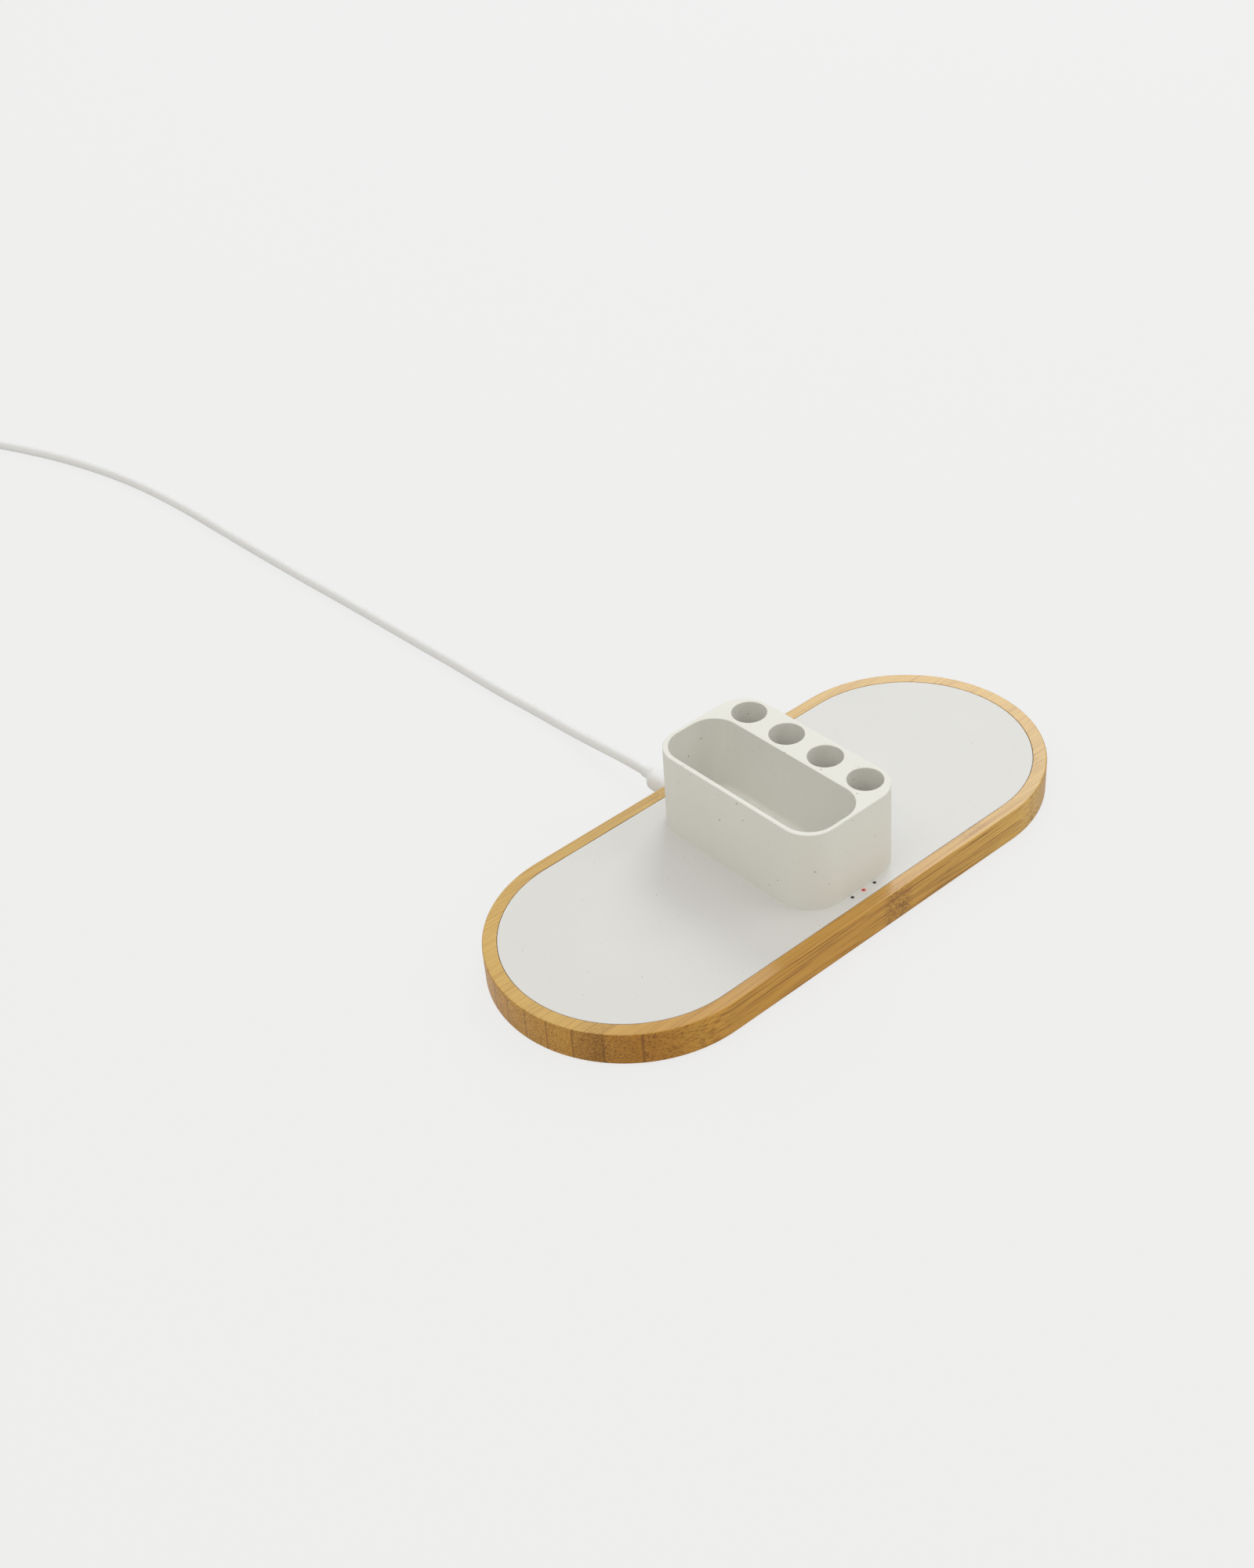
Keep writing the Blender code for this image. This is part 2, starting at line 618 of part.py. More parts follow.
def base_screws():
    """The screws that close the tray from below."""
    body = screw(base_screw_seat() - FIT_GAP, BASE_SCREW_HEAD_HEIGHT, BASE_SCREW_HEAD_RADIUS,
                 BASE_SCREW_SHANK_RADIUS, base_screw_top())
    repeated("base_screw", body, BASE_SCREW_PLACES, SCREW_STEEL)


def base_screw_top():
    """Height of the tip of a closing screw."""
    return BASE_TOP + BASE_SCREW_CUP_HEIGHT + BASE_SCREW_GRIP


# Pen holder


def holder_section(share, drawn_in=0):
    """The outer outline at a share of the height, from the base at 0 to the top at 1."""
    left = 1 - share
    size_x = HOLDER_TOP_X + 2 * (HOLDER_DRAFT_X * left - drawn_in)
    size_y = HOLDER_TOP_Y + 2 * (HOLDER_DRAFT_Y * left - drawn_in)
    radius = HOLDER_CORNER_RADIUS + HOLDER_CORNER_GROWTH * left - drawn_in
    return rounded_rectangle(size_x, size_y, radius, CORNER_STEPS, (HOLDER_SHIFT_X, HOLDER_SHIFT_Y))


def pocket_section(widened):
    """The pocket's outline, wider than at its floor by this much on each side."""
    grown = widened - POCKET_DRAFT
    size_x, size_y, radius = POCKET_X + 2 * grown, POCKET_Y + 2 * grown, POCKET_RADIUS + grown
    return rounded_rectangle(size_x, size_y, radius, CORNER_STEPS, (POCKET_CENTRE_X, HOLDER_SHIFT_Y))


def pen_holder():
    """A drafted, moulded block with a long pocket, four pen wells, cored webs between them, and screw bosses."""
    rings = []
    for drawn_in, to_go in reversed(quarter_round(HOLDER_BASE_ROUND, ROUND_STEPS)):
        rings.append(level(holder_section(0, drawn_in), HOLDER_BOTTOM + to_go))
    for drawn_in, to_go in quarter_round(HOLDER_TOP_ROUND, ROUND_STEPS):
        rings.append(level(holder_section(1, drawn_in), HOLDER_TOP - to_go))
    holder = Solid().skin(rings).finish("pen_holder", WHITE_COMPOSITE)

    bosses = Solid()
    boss_bottom = PLATE_UNDERSIDE + FIT_GAP
    for place in HOLDER_SCREW_PLACES:
        bosses.turned([(HOLDER_BOSS_RADIUS, boss_bottom), (HOLDER_BOSS_RADIUS, HOLDER_BOTTOM + HOLDER_FLOOR / 2)],
                      BOSS_STEPS, place)
    combine(holder, bosses.tool("holder_bosses"), "UNION")

    hollows = Solid()
    floor = HOLDER_BOTTOM + HOLDER_FLOOR
    pocket = []
    for drawn_in, to_go in reversed(quarter_round(POCKET_FLOOR_ROUND, ROUND_STEPS)):
        pocket.append(level(pocket_section(-drawn_in), floor + to_go))
    pocket.append(level(pocket_section(POCKET_DRAFT), HOLDER_TOP - MOUTH_ROUND))
    pocket.append(level(pocket_section(POCKET_DRAFT + MOUTH_ROUND), HOLDER_TOP))
    pocket.append(level(pocket_section(POCKET_DRAFT + MOUTH_ROUND), HOLDER_TOP + CUT_OVERRUN))
    hollows.skin(pocket)
    for place in WELL_PLACES:
        narrow = WELL_RADIUS - WELL_DRAFT
        profile = [(narrow - drawn_in, floor + to_go)
                   for drawn_in, to_go in reversed(quarter_round(WELL_FLOOR_ROUND, ROUND_STEPS))]
        profile += [(WELL_RADIUS, HOLDER_TOP - MOUTH_ROUND), (WELL_RADIUS + MOUTH_ROUND, HOLDER_TOP),
                    (WELL_RADIUS + MOUTH_ROUND, HOLDER_TOP + CUT_OVERRUN)]
        hollows.turned(profile, WELL_STEPS, place)
    combine(holder, hollows.tool("holder_hollows"), "DIFFERENCE")

    core_left = POCKET_CENTRE_X + POCKET_X / 2 + WELL_WALL
    core_right = HOLDER_SHIFT_X + HOLDER_TOP_X / 2 - WELL_WALL
    core_centre = ((core_left + core_right) / 2, HOLDER_SHIFT_Y)
    core_outline = rounded_rectangle(core_right - core_left, WELL_PITCH, WELL_WALL / 2, SMALL_CORNER_STEPS,
                                     core_centre)
    core_body = Solid().prism(core_outline, HOLDER_BOTTOM - CUT_OVERRUN, HOLDER_TOP - CORE_ROOF)
    core = core_body.tool("middle_core")
    tubes = Solid()
    for place in WELL_PLACES:
        radius = WELL_RADIUS + WELL_WALL
        tubes.turned([(radius, HOLDER_BOTTOM - 2 * CUT_OVERRUN), (radius, HOLDER_TOP)], WELL_STEPS, place)
    combine(core, tubes.tool("middle_core_tubes"), "DIFFERENCE")
    combine(holder, core, "DIFFERENCE")

    pilots = Solid()
    for place in HOLDER_SCREW_PLACES:
        radius = HOLDER_SCREW_SHANK_RADIUS + SCREW_GAP
        pilots.turned([(radius, boss_bottom - CUT_OVERRUN), (radius, holder_screw_top() + SCREW_GAP)],
                      SCREW_STEPS, place)
    combine(holder, pilots.tool("holder_pilots"), "DIFFERENCE")
    return holder


def holder_screw_top():
    """Height of the tip of a pen holder screw."""
    return PLATE_UNDERSIDE + HOLDER_SCREW_GRIP


def pen_holder_screws():
    """The wide-headed screws that hold the pen holder through the plate."""
    body = screw(PLATE_UNDERSIDE - FIT_GAP, HOLDER_SCREW_HEAD_HEIGHT, HOLDER_SCREW_HEAD_RADIUS,
                 HOLDER_SCREW_SHANK_RADIUS, holder_screw_top())
    repeated("pen_holder_screw", body, HOLDER_SCREW_PLACES, SCREW_STEEL)


# Electronics


def main_board():
    """The circuit board between the two coils."""
    outline = rounded_rectangle(BOARD_X, 2 * BOARD_HALF_Y, BOARD_CORNER, SMALL_CORNER_STEPS)
    board = Solid().prism(outline, BOARD_BOTTOM, BOARD_TOP).finish("main_board", BOARD_GREEN)
    holes = Solid()
    for place in BOARD_SCREW_PLACES:
        radius = BOARD_SCREW_SHANK_RADIUS + FIT_GAP
        holes.turned([(radius, BOARD_BOTTOM - CUT_OVERRUN), (radius, BOARD_TOP + CUT_OVERRUN)],
                     SCREW_STEPS, place)
    combine(board, holes.tool("board_holes"), "DIFFERENCE")
    return board


def board_screws():
    """The screws that hold the board to the plate's bosses."""
    body = screw(BOARD_BOTTOM - FIT_GAP, BOARD_SCREW_HEAD_HEIGHT, BOARD_SCREW_HEAD_RADIUS,
                 BOARD_SCREW_SHANK_RADIUS, board_screw_top())
    repeated("board_screw", body, BOARD_SCREW_PLACES, SCREW_STEEL)


def board_screw_top():
    """Height of the tip of a board screw."""
    return BOARD_TOP + FIT_GAP + BOARD_SCREW_GRIP


def soldered(name, places, size_x, size_y, corner, height, material):
    """Equal blocks soldered to the underside of the board."""
    outline = rounded_rectangle(size_x, size_y, corner, CHIP_CORNER_STEPS)
    repeated(name, Solid().prism(outline, SOLDER_FACE - height, SOLDER_FACE), places, material)


def power_inductors():
    """Four shielded inductors of the two charging circuits."""
    places = [(side_x * INDUCTOR_ROW_X, side_y * INDUCTOR_ROW_Y) for side_x in (-1, 1) for side_y in (-1, 1)]
    soldered("power_inductor", places, INDUCTOR_SIZE, INDUCTOR_SIZE, INDUCTOR_CORNER, INDUCTOR_HEIGHT,
             FERRITE_GREY)


def controller_chips():
    """The charging controller of each side, and the supply's own in the middle."""
    places = [(number * CHIP_PITCH, 0) for number in (-1, 0, 1)]
    soldered("controller_chip", places, CHIP_SIZE, CHIP_SIZE, CHIP_CORNER, CHIP_HEIGHT, CHIP_BLACK)


def resonant_capacitors():
    """Rows of capacitors near the pads of each coil's leads."""
    rows = [(number - (CAPACITOR_COUNT - 1) / 2) * CAPACITOR_PITCH for number in range(CAPACITOR_COUNT)]
    places = [(side * CAPACITOR_ROW_X, row) for side in (-1, 1) for row in rows]
    soldered("resonant_capacitor", places, CAPACITOR_X, CAPACITOR_Y, CAPACITOR_CORNER, CAPACITOR_HEIGHT,
             CAPACITOR_TAN)


def indicator_leds():
    """Three lamps on the board's upper face, below the light pipes."""
    outline = rounded_rectangle(LED_X, LED_Y, LED_CORNER, CHIP_CORNER_STEPS)
    lamp = Solid().prism(outline, BOARD_TOP + FIT_GAP, BOARD_TOP + FIT_GAP + LED_HEIGHT)
    repeated("indicator_led", lamp, LIGHT_PLACES, LED_CREAM)


def light_pipe(name, place, material):
    """A clear pin that brings a lamp's light up to the plate's face."""
    lamp_top = BOARD_TOP + FIT_GAP + LED_HEIGHT
    flange_top = PLATE_UNDERSIDE - FIT_GAP
    profile = [(LENS_RADIUS, lamp_top + FIT_GAP), (LENS_RADIUS, flange_top - LENS_FLANGE_HEIGHT),
               (LENS_FLANGE_RADIUS, flange_top - LENS_FLANGE_HEIGHT), (LENS_FLANGE_RADIUS, flange_top),
               (LENS_RADIUS, flange_top), (LENS_RADIUS, FRAME_TOP)]
    return Solid().turned(profile, BOSS_STEPS, place).finish(name, material)


def tube(name, points, radius, bevel_steps, material):
    """A tube along these points, with closed ends. Its sides number four plus twice the bevel steps."""
    data = bpy.data.curves.new(name, "CURVE")
    data.dimensions = "3D"
    data.twist_mode = "Z_UP"
    data.bevel_depth = radius
    data.bevel_resolution = bevel_steps
    data.use_fill_caps = True
    spline = data.splines.new("POLY")
    spline.points.add(len(points) - 1)
    for spot, point in zip(spline.points, points):
        spot.co = (*point, 1)
    data.materials.append(material)
    made = bpy.data.objects.new(name, data)
    bpy.context.scene.collection.objects.link(made)
    return made


def eased(share):
    """A share from 0 to 1 that starts and ends level."""
    held = min(1.0, max(0.0, share))
    return held * held * (3 - 2 * held)


def charging_coil(name, side):
    """A flat spiral of litz wire in one piece: in along the plate, round to the middle, back below the turns."""
    outer = COIL_INNER_RADIUS + COIL_TURNS * COIL_PITCH
    return_z = COIL_Z - 2 * COIL_WIRE_RADIUS - COIL_LEAD_GAP
    pad_z = BOARD_TOP + FIT_GAP + COIL_WIRE_RADIUS
    board_edge = END_CENTRE_X - BOARD_X / 2
    board_pad = board_edge + COIL_LEAD_ON_BOARD
    nest_edge = FERRITE_SIZE / 2 + NEST_WALL + COIL_LEAD_SLOPE
    start_y = COIL_LEAD_Y - COIL_LEAD_BEND
    start_angle = math.asin(start_y / outer)
    start_reach = outer * math.cos(start_angle) + COIL_LEAD_BEND
    path = [(board_pad, COIL_LEAD_Y, pad_z), (board_edge, COIL_LEAD_Y, pad_z),
            (nest_edge, COIL_LEAD_Y, COIL_Z)]
    for reach, across in arc(start_reach, start_y, COIL_LEAD_BEND, math.pi / 2, math.pi, ROUND_STEPS):
        path.append((reach, across, COIL_Z))
    total = COIL_TURNS * COIL_TURN_POINTS
    for step in range(1, total + 1):
        share = step / total
        radius = outer + (COIL_INNER_RADIUS - outer) * share
        angle = start_angle * (1 - share) - 2 * math.pi * COIL_TURNS * share
        drop = eased(1 - (1 - share) * COIL_TURNS / COIL_DROP_TURNS)
        path.append((radius * math.cos(angle), radius * math.sin(angle), COIL_Z + (return_z - COIL_Z) * drop))
    bend_reach = COIL_INNER_RADIUS + COIL_LEAD_BEND
    for reach, across in arc(bend_reach, 0, COIL_LEAD_BEND, math.pi, 3 * math.pi / 2, ROUND_STEPS)[1:]:
        path.append((reach, across, return_z))
    path += [(nest_edge, COIL_RETURN_Y, return_z), (board_edge, COIL_RETURN_Y, pad_z),
             (board_pad, COIL_RETURN_Y, pad_z)]
    points = [Vector((side * (END_CENTRE_X - reach), across, height)) for reach, across, height in path]
    print(f"{name}: least gap to itself {least_gap(points, COIL_WIRE_RADIUS, COIL_TURN_POINTS // 2):.5f} m")
    return tube(name, points, COIL_WIRE_RADIUS, COIL_BEVEL_STEPS, COPPER)


def ferrite(name, side):
    """The square ferrite shield under a coil, open in the middle and slotted for the coil's return lead."""
    centre = (side * END_CENTRE_X, 0)
    outline = rounded_rectangle(FERRITE_SIZE, FERRITE_SIZE, FERRITE_CORNER, SMALL_CORNER_STEPS, centre)
    shield = Solid().prism(outline, FERRITE_BOTTOM, FERRITE_TOP).finish(name, FERRITE_GREY)
    bottom, top = FERRITE_BOTTOM - CUT_OVERRUN, FERRITE_TOP + CUT_OVERRUN
    hole_radius = COIL_INNER_RADIUS + COIL_PITCH
    hole = Solid().turned([(hole_radius, bottom), (hole_radius, top)], WELL_STEPS, centre)
    combine(shield, hole.tool(name + "_hole_cut"), "DIFFERENCE")
    reach = FERRITE_SIZE / 2 + CUT_OVERRUN
    slot_centre = (side * (END_CENTRE_X - reach / 2 - COIL_INNER_RADIUS / 2), COIL_RETURN_Y)
    slot_outline = rounded_rectangle(reach - COIL_INNER_RADIUS, FERRITE_SLOT, FERRITE_SLOT / 4,
                                     SMALL_CORNER_STEPS, slot_centre)
    slot = Solid().prism(slot_outline, bottom - CUT_OVERRUN, top + CUT_OVERRUN).tool(name + "_slot_cut")
    combine(shield, slot, "DIFFERENCE")
    return shield


# Socket and plugs, drawn along Z: 0 is a plug's face or the socket's mouth, and +Z runs away from it.


@dataclass(frozen=True)
class GripShape:
    """Sizes of a plug's moulded grip and of the tapered neck behind it."""

    size_x: float
    thickness: float
    corner: float
    length: float
    end_round: float
    shoulder: float
    neck_length: float
    neck_root_radius: float

    def section(self, drawn_in=0):
        """The grip's outline, drawn in by this much."""
        sizes = (self.size_x - 2 * drawn_in, self.thickness - 2 * drawn_in, self.corner - drawn_in)
        return rounded_rectangle(*sizes, PLUG_CORNER_STEPS)

    def rings(self):
        """The grip's skin, from its face to the end of the neck."""
        face = quarter_round(self.end_round, ROUND_STEPS)[::-1]
        found = [level(self.section(inset), to_go) for inset, to_go in face]
        for inset, to_go in quarter_round(self.shoulder, ROUND_STEPS)[:-1]:
            found.append(level(self.section(inset), self.length - to_go))
        root = circle_like_corners(self.neck_root_radius, PLUG_CORNER_STEPS)
        tip = circle_like_corners(CORD_RADIUS + NECK_WALL, PLUG_CORNER_STEPS)
        return found + [level(root, self.length), level(tip, self.length + self.neck_length)]


def pill(size_x, thickness, drawn_in=0):
    """The round-ended outline of a USB-C shell."""
    return stadium(size_x - 2 * drawn_in, thickness - 2 * drawn_in, PLUG_END_STEPS)


def cup(outer, inner, mouth, floor, back):
    """A drawn metal shell, open at its mouth and closed behind its floor."""
    return Solid().skin([level(inner, floor), level(inner, mouth), level(outer, mouth), level(outer, back)])


def grip(name, shape, root_outline, root_depth, place):
    """A moulded grip with a recess in its face for the root of the plug's shell."""
    made = Solid().skin(shape.rings()).finish(name, CORD_WHITE, place)
    recess = Solid().prism(root_outline, -CUT_OVERRUN, root_depth + FIT_GAP).tool(name + "_root_cut", place)
    combine(made, recess, "DIFFERENCE")
    return made


def into_tray():
    """Lays a body made along Z at the socket's mouth, running into the tray."""
    return Matrix.Translation((0, SOCKET_MOUTH_Y, PLUG_AXIS_Z)) @ Matrix.Rotation(math.pi / 2, 4, "X")


def usb_c_socket_shell():
    """The socket's metal shell, under the board, with its mouth behind the opening in the frame."""
    outer, inner = pill(SOCKET_X, SOCKET_THICKNESS), pill(SOCKET_X, SOCKET_THICKNESS, SOCKET_WALL)
    made = cup(outer, inner, 0, SOCKET_LENGTH - SOCKET_BACK, SOCKET_LENGTH)
    return made.finish("usb_c_socket_shell", PLATED_STEEL, into_tray())


def usb_c_socket_tongue():
    """The socket's contact tongue and the block that carries it."""
    block_front = PLUG_REACH - PLUG_SEAT_GAP + FIT_GAP
    block_back = SOCKET_LENGTH - SOCKET_BACK - FIT_GAP
    block = pill(SOCKET_X, SOCKET_THICKNESS, SOCKET_WALL + FIT_GAP)
    blade = pill(TONGUE_X, TONGUE_THICKNESS)
    rings = [level(blade, TONGUE_RECESS), level(blade, block_front), level(block, block_front),
             level(block, block_back)]
    return Solid().skin(rings).finish("usb_c_socket_tongue", CONTACT_BLACK, into_tray())


def usb_c_plug_shell():
    """The plug's metal shell, seated in the socket and rooted in its grip."""
    outer, inner = pill(PLUG_X, PLUG_THICKNESS), pill(PLUG_X, PLUG_THICKNESS, PLUG_WALL)
    made = cup(outer, inner, -PLUG_REACH, PLUG_ROOT - PLUG_CAVITY_BACK, PLUG_ROOT)
    return made.finish("usb_c_plug_shell", PLATED_STEEL, along_y(PLUG_FACE_Y))


def usb_c_grip():
    """The moulded grip of the plug at the tray."""
    shape = GripShape(GRIP_X, GRIP_THICKNESS, GRIP_CORNER, GRIP_LENGTH, GRIP_END_ROUND, GRIP_SHOULDER,
                      GRIP_NECK_LENGTH, GRIP_NECK_ROOT_RADIUS)
    return grip("usb_c_grip", shape, pill(PLUG_X, PLUG_THICKNESS, -FIT_GAP), PLUG_ROOT, along_y(PLUG_FACE_Y))


# Cord


def smooth_path(points, step):
    """Points at most a step apart on a smooth curve through the given ones."""
    ends = [2 * points[0] - points[1], 2 * points[-1] - points[-2]]
    padded = [ends[0], *points, ends[1]]
    path = [points[0]]
    for before, start, end, after in zip(padded, padded[1:], padded[2:], padded[3:]):
        leave, arrive = (end - before) / 2, (after - start) / 2
        count = math.ceil((end - start).length / step)
        for number in range(1, count + 1):
            share = number / count
            turn = share * share * (3 - 2 * share)
            pull = share * (1 - share)
            path.append(start.lerp(end, turn) + leave * pull * (1 - share) - arrive * pull * share)
    return path


def path_length(points):
    """Length along a row of points."""
    return sum((there - here).length for here, there in zip(points, points[1:]))


def least_gap(points, radius, apart):
    """The least gap of a wound tube to itself, leaving out neighbours fewer than this many points apart."""
    fine = [
        here.lerp(there, part / GAP_SAMPLE_STEPS)
        for here, there in zip(points, points[1:])
        for part in range(GAP_SAMPLE_STEPS)
    ]
    skip = apart * GAP_SAMPLE_STEPS
    nearest = min((fine[first] - other).length for first in range(len(fine)) for other in fine[first + skip:])
    return nearest - 2 * radius


def route_points():
    """The route of the free cord, from the plug's neck to the stored coil."""
    rise = PLUG_AXIS_Z - CORD_RADIUS
    return [Vector((x, CORD_EXIT_Y + along, CORD_RADIUS + rise * share)) for x, along, share in CORD_ROUTE]


def heading_of(path):
    """Direction of a path's last stretch."""
    return (path[-1] - path[-2]).normalized()


def coil_path(start, heading):
    """The stored coil: loops wound inwards on the desk, a climb, loops wound outwards on top, and a tail."""
    diameter = 2 * CORD_RADIUS
    pitch = diameter + STORE_GAP
    entry = start + heading * diameter
    left = Vector((-heading.y, heading.x, 0))
    centre = entry + left * STORE_RADIUS
    first_angle = math.atan2(-left.y, -left.x)
    half_turns = STORE_TURNS / 2
    path = [start]
    for step in range(round(STORE_TURNS * STORE_TURN_POINTS) + 1):
        turns = step / STORE_TURN_POINTS
        radius = STORE_RADIUS - pitch * (half_turns - abs(turns - half_turns))
        climb = eased((turns - half_turns) / STORE_CLIMB_TURNS + 1 / 2)
        angle = first_angle + 2 * math.pi * turns
        ring = Vector((radius * math.cos(angle), radius * math.sin(angle), pitch * climb))
        path.append(centre + ring)
    away = Vector((-math.sin(angle), math.cos(angle), 0))
    leaving = path[-1]
    drop = leaving.z - FAR_GRIP_THICKNESS / 2
    for step in range(1, STORE_TAIL_POINTS + 1):
        share = step / STORE_TAIL_POINTS
        path.append(leaving + away * STORE_TAIL * share - Vector((0, 0, drop * eased(share))))
    path.append(path[-1] + away * diameter)
    return path


def cord_pieces():
    """The cord's free run and its stored coil, and the path of the coil."""
    route = route_points()
    run = smooth_path(route, CORD_STEP)
    coil = coil_path(run[-1] + heading_of(route) * FIT_GAP, heading_of(route))
    print(f"cord: {path_length(run) + path_length(coil):.3f} m long")
    print(f"cord_coil: least gap to itself {least_gap(coil, CORD_RADIUS, STORE_TURN_POINTS // 2):.5f} m")
    pieces = [tube("cord_run", run, CORD_RADIUS, CORD_BEVEL_STEPS, CORD_WHITE),
              tube("cord_coil", coil, CORD_RADIUS, STORE_BEVEL_STEPS, CORD_WHITE)]
    return pieces, coil


def far_plug(tail):
    """The USB-A plug on the far end: grip, shell and contact insert, lying on the desk."""
    ahead = heading_of(tail)
    back, upward = -ahead, Vector((0, 0, 1))
    face = tail[-1] + ahead * (FIT_GAP + FAR_GRIP_NECK_LENGTH + FAR_GRIP_LENGTH)
    place = Matrix.Translation(face) @ Matrix((upward.cross(back), upward, back)).transposed().to_4x4()
    shape = GripShape(FAR_GRIP_X, FAR_GRIP_THICKNESS, FAR_GRIP_CORNER, FAR_GRIP_LENGTH, FAR_GRIP_END_ROUND,
                      FAR_GRIP_SHOULDER, FAR_GRIP_NECK_LENGTH, FAR_GRIP_NECK_ROOT_RADIUS)
    outer, inner, recess = [
        rounded_rectangle(FAR_SHELL_X - 2 * inset, FAR_SHELL_THICKNESS - 2 * inset, FAR_SHELL_CORNER - inset,
                          SMALL_CORNER_STEPS)
        for inset in (0, FAR_SHELL_WALL, -FIT_GAP)
    ]
    floor = FAR_SHELL_ROOT - FAR_SHELL_BACK
    metal = cup(outer, inner, -FAR_SHELL_REACH, floor, FAR_SHELL_ROOT)
    insert_x = FAR_SHELL_X - 2 * (FAR_SHELL_WALL + FIT_GAP)
    insert_y = FAR_SHELL_THICKNESS / 2 - FAR_SHELL_WALL - FIT_GAP - FAR_INSERT_THICKNESS / 2
    insert = rounded_rectangle(insert_x, FAR_INSERT_THICKNESS, FAR_INSERT_CORNER, CHIP_CORNER_STEPS, (0, insert_y))
    block = Solid().prism(insert, FAR_INSERT_RECESS - FAR_SHELL_REACH, floor - FIT_GAP)
    return [grip("usb_a_grip", shape, recess, FAR_SHELL_ROOT, place),
            metal.finish("usb_a_shell", PLATED_STEEL, place),
            block.finish("usb_a_insert", CONTACT_BLACK, place)]


def hang_on_axis(pieces):
    """Parents the cable's pieces to an empty on the line that the plug slides along."""
    axis = bpy.data.objects.new("cable_axis", None)
    axis.location = (0, PLUG_FACE_Y, PLUG_AXIS_Z)
    axis.empty_display_size = GRIP_X
    bpy.context.scene.collection.objects.link(axis)
    for piece in pieces:
        piece.parent = axis
        piece.matrix_parent_inverse = Matrix.Translation(-axis.location)


# Materials

BAMBOO = finish_of("bamboo", "CFA468", 0.45)
WHITE_COMPOSITE = finish_of("white_composite", "E3E2DC", 0.6)
BASE_PLASTIC = finish_of("base_plastic", "D8D8D4", 0.6)
RUBBER = finish_of("rubber", "C9C9C6", 0.85)
SCREW_STEEL = finish_of("screw_steel", "B9B9B6", 0.35, 1.0)
BOARD_GREEN = finish_of("board_green", "1F5B3A", 0.5)
FERRITE_GREY = finish_of("ferrite_grey", "3B3B3D", 0.7)
CHIP_BLACK = finish_of("chip_black", "1C1C1E", 0.5)
CAPACITOR_TAN = finish_of("capacitor_tan", "A98C64", 0.5)
LED_CREAM = finish_of("led_cream", "E9DFA8", 0.4)
COPPER = finish_of("copper", "B5713A", 0.35, 1.0)
CLEAR_DARK = finish_of("clear_dark", "4A4744", 0.25)
CLEAR_RED = finish_of("clear_red", "E2533B", 0.25)
PLATED_STEEL = finish_of("plated_steel", "C4C4C2", 0.3, 1.0)
CONTACT_BLACK = finish_of("contact_black", "222224", 0.5)
CORD_WHITE = finish_of("cord_white", "E6E6E3", 0.5)

# Assembly

bamboo_frame()
top_plate()
base_plate()
base_screws()
rubber_feet()
pen_holder()
pen_holder_screws()
main_board()
board_screws()
power_inductors()
controller_chips()
resonant_capacitors()
indicator_leds()
light_pipe("light_pipe_left", LIGHT_PLACES[0], CLEAR_DARK)
light_pipe("light_pipe_power", LIGHT_PLACES[1], CLEAR_RED)
light_pipe("light_pipe_right", LIGHT_PLACES[2], CLEAR_DARK)
for side_name, side in (("left", -1), ("right", 1)):
    charging_coil("coil_" + side_name, side)
    ferrite("ferrite_" + side_name, side)
usb_c_socket_shell()
usb_c_socket_tongue()
cord, stored = cord_pieces()
hang_on_axis([usb_c_plug_shell(), usb_c_grip(), *cord, *far_plug(stored)])
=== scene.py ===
"""Looks of a bamboo and white wireless charging tray with a pen holder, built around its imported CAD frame.

The CAD model gives every place and size. This script adds the smooth visible forms, the finishes, the lead as one
curve, and the studio. Metres, +Z up, +X along the tray, -Y the front edge with the indicator lights.
"""

import json
import logging
import math
from collections.abc import Mapping, Sequence
from dataclasses import dataclass, field
from enum import Enum
from typing import Any

import bmesh
import bpy
from mathutils import Matrix, Vector


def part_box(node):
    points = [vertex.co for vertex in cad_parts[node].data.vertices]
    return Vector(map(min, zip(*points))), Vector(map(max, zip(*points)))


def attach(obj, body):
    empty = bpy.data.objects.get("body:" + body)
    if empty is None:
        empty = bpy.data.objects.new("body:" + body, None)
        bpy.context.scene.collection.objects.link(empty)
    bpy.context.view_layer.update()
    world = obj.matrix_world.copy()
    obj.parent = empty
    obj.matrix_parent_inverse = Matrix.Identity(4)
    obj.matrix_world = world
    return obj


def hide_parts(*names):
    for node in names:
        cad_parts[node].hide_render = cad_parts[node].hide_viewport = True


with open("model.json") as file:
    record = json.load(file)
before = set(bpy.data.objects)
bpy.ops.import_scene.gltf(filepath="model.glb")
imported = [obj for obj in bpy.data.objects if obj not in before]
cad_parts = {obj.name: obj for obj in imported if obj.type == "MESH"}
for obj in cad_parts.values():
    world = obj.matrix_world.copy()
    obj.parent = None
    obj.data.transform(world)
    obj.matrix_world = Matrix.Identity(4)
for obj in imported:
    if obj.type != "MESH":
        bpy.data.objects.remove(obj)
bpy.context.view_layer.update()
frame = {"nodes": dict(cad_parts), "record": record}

LOG = logging.getLogger("charging_tray")
TO_MM = 1000.0
SMOOTH_ANGLE = math.radians(32)
QUARTER = math.pi / 2
OVERRUN = 0.001
MERGE_DISTANCE = 1e-6
UNLIT_PINS = ["light_pipe_left", "light_pipe_right"]
LIT_PIN = "light_pipe_power"

MATH, VECTOR_MATH, PARTS = "ShaderNodeMath", "ShaderNodeVectorMath", "ShaderNodeSeparateXYZ"
RAMP, MIX, NOISE, CELLS = "ShaderNodeMapRange", "ShaderNodeMix", "ShaderNodeTexNoise", "ShaderNodeTexVoronoi"

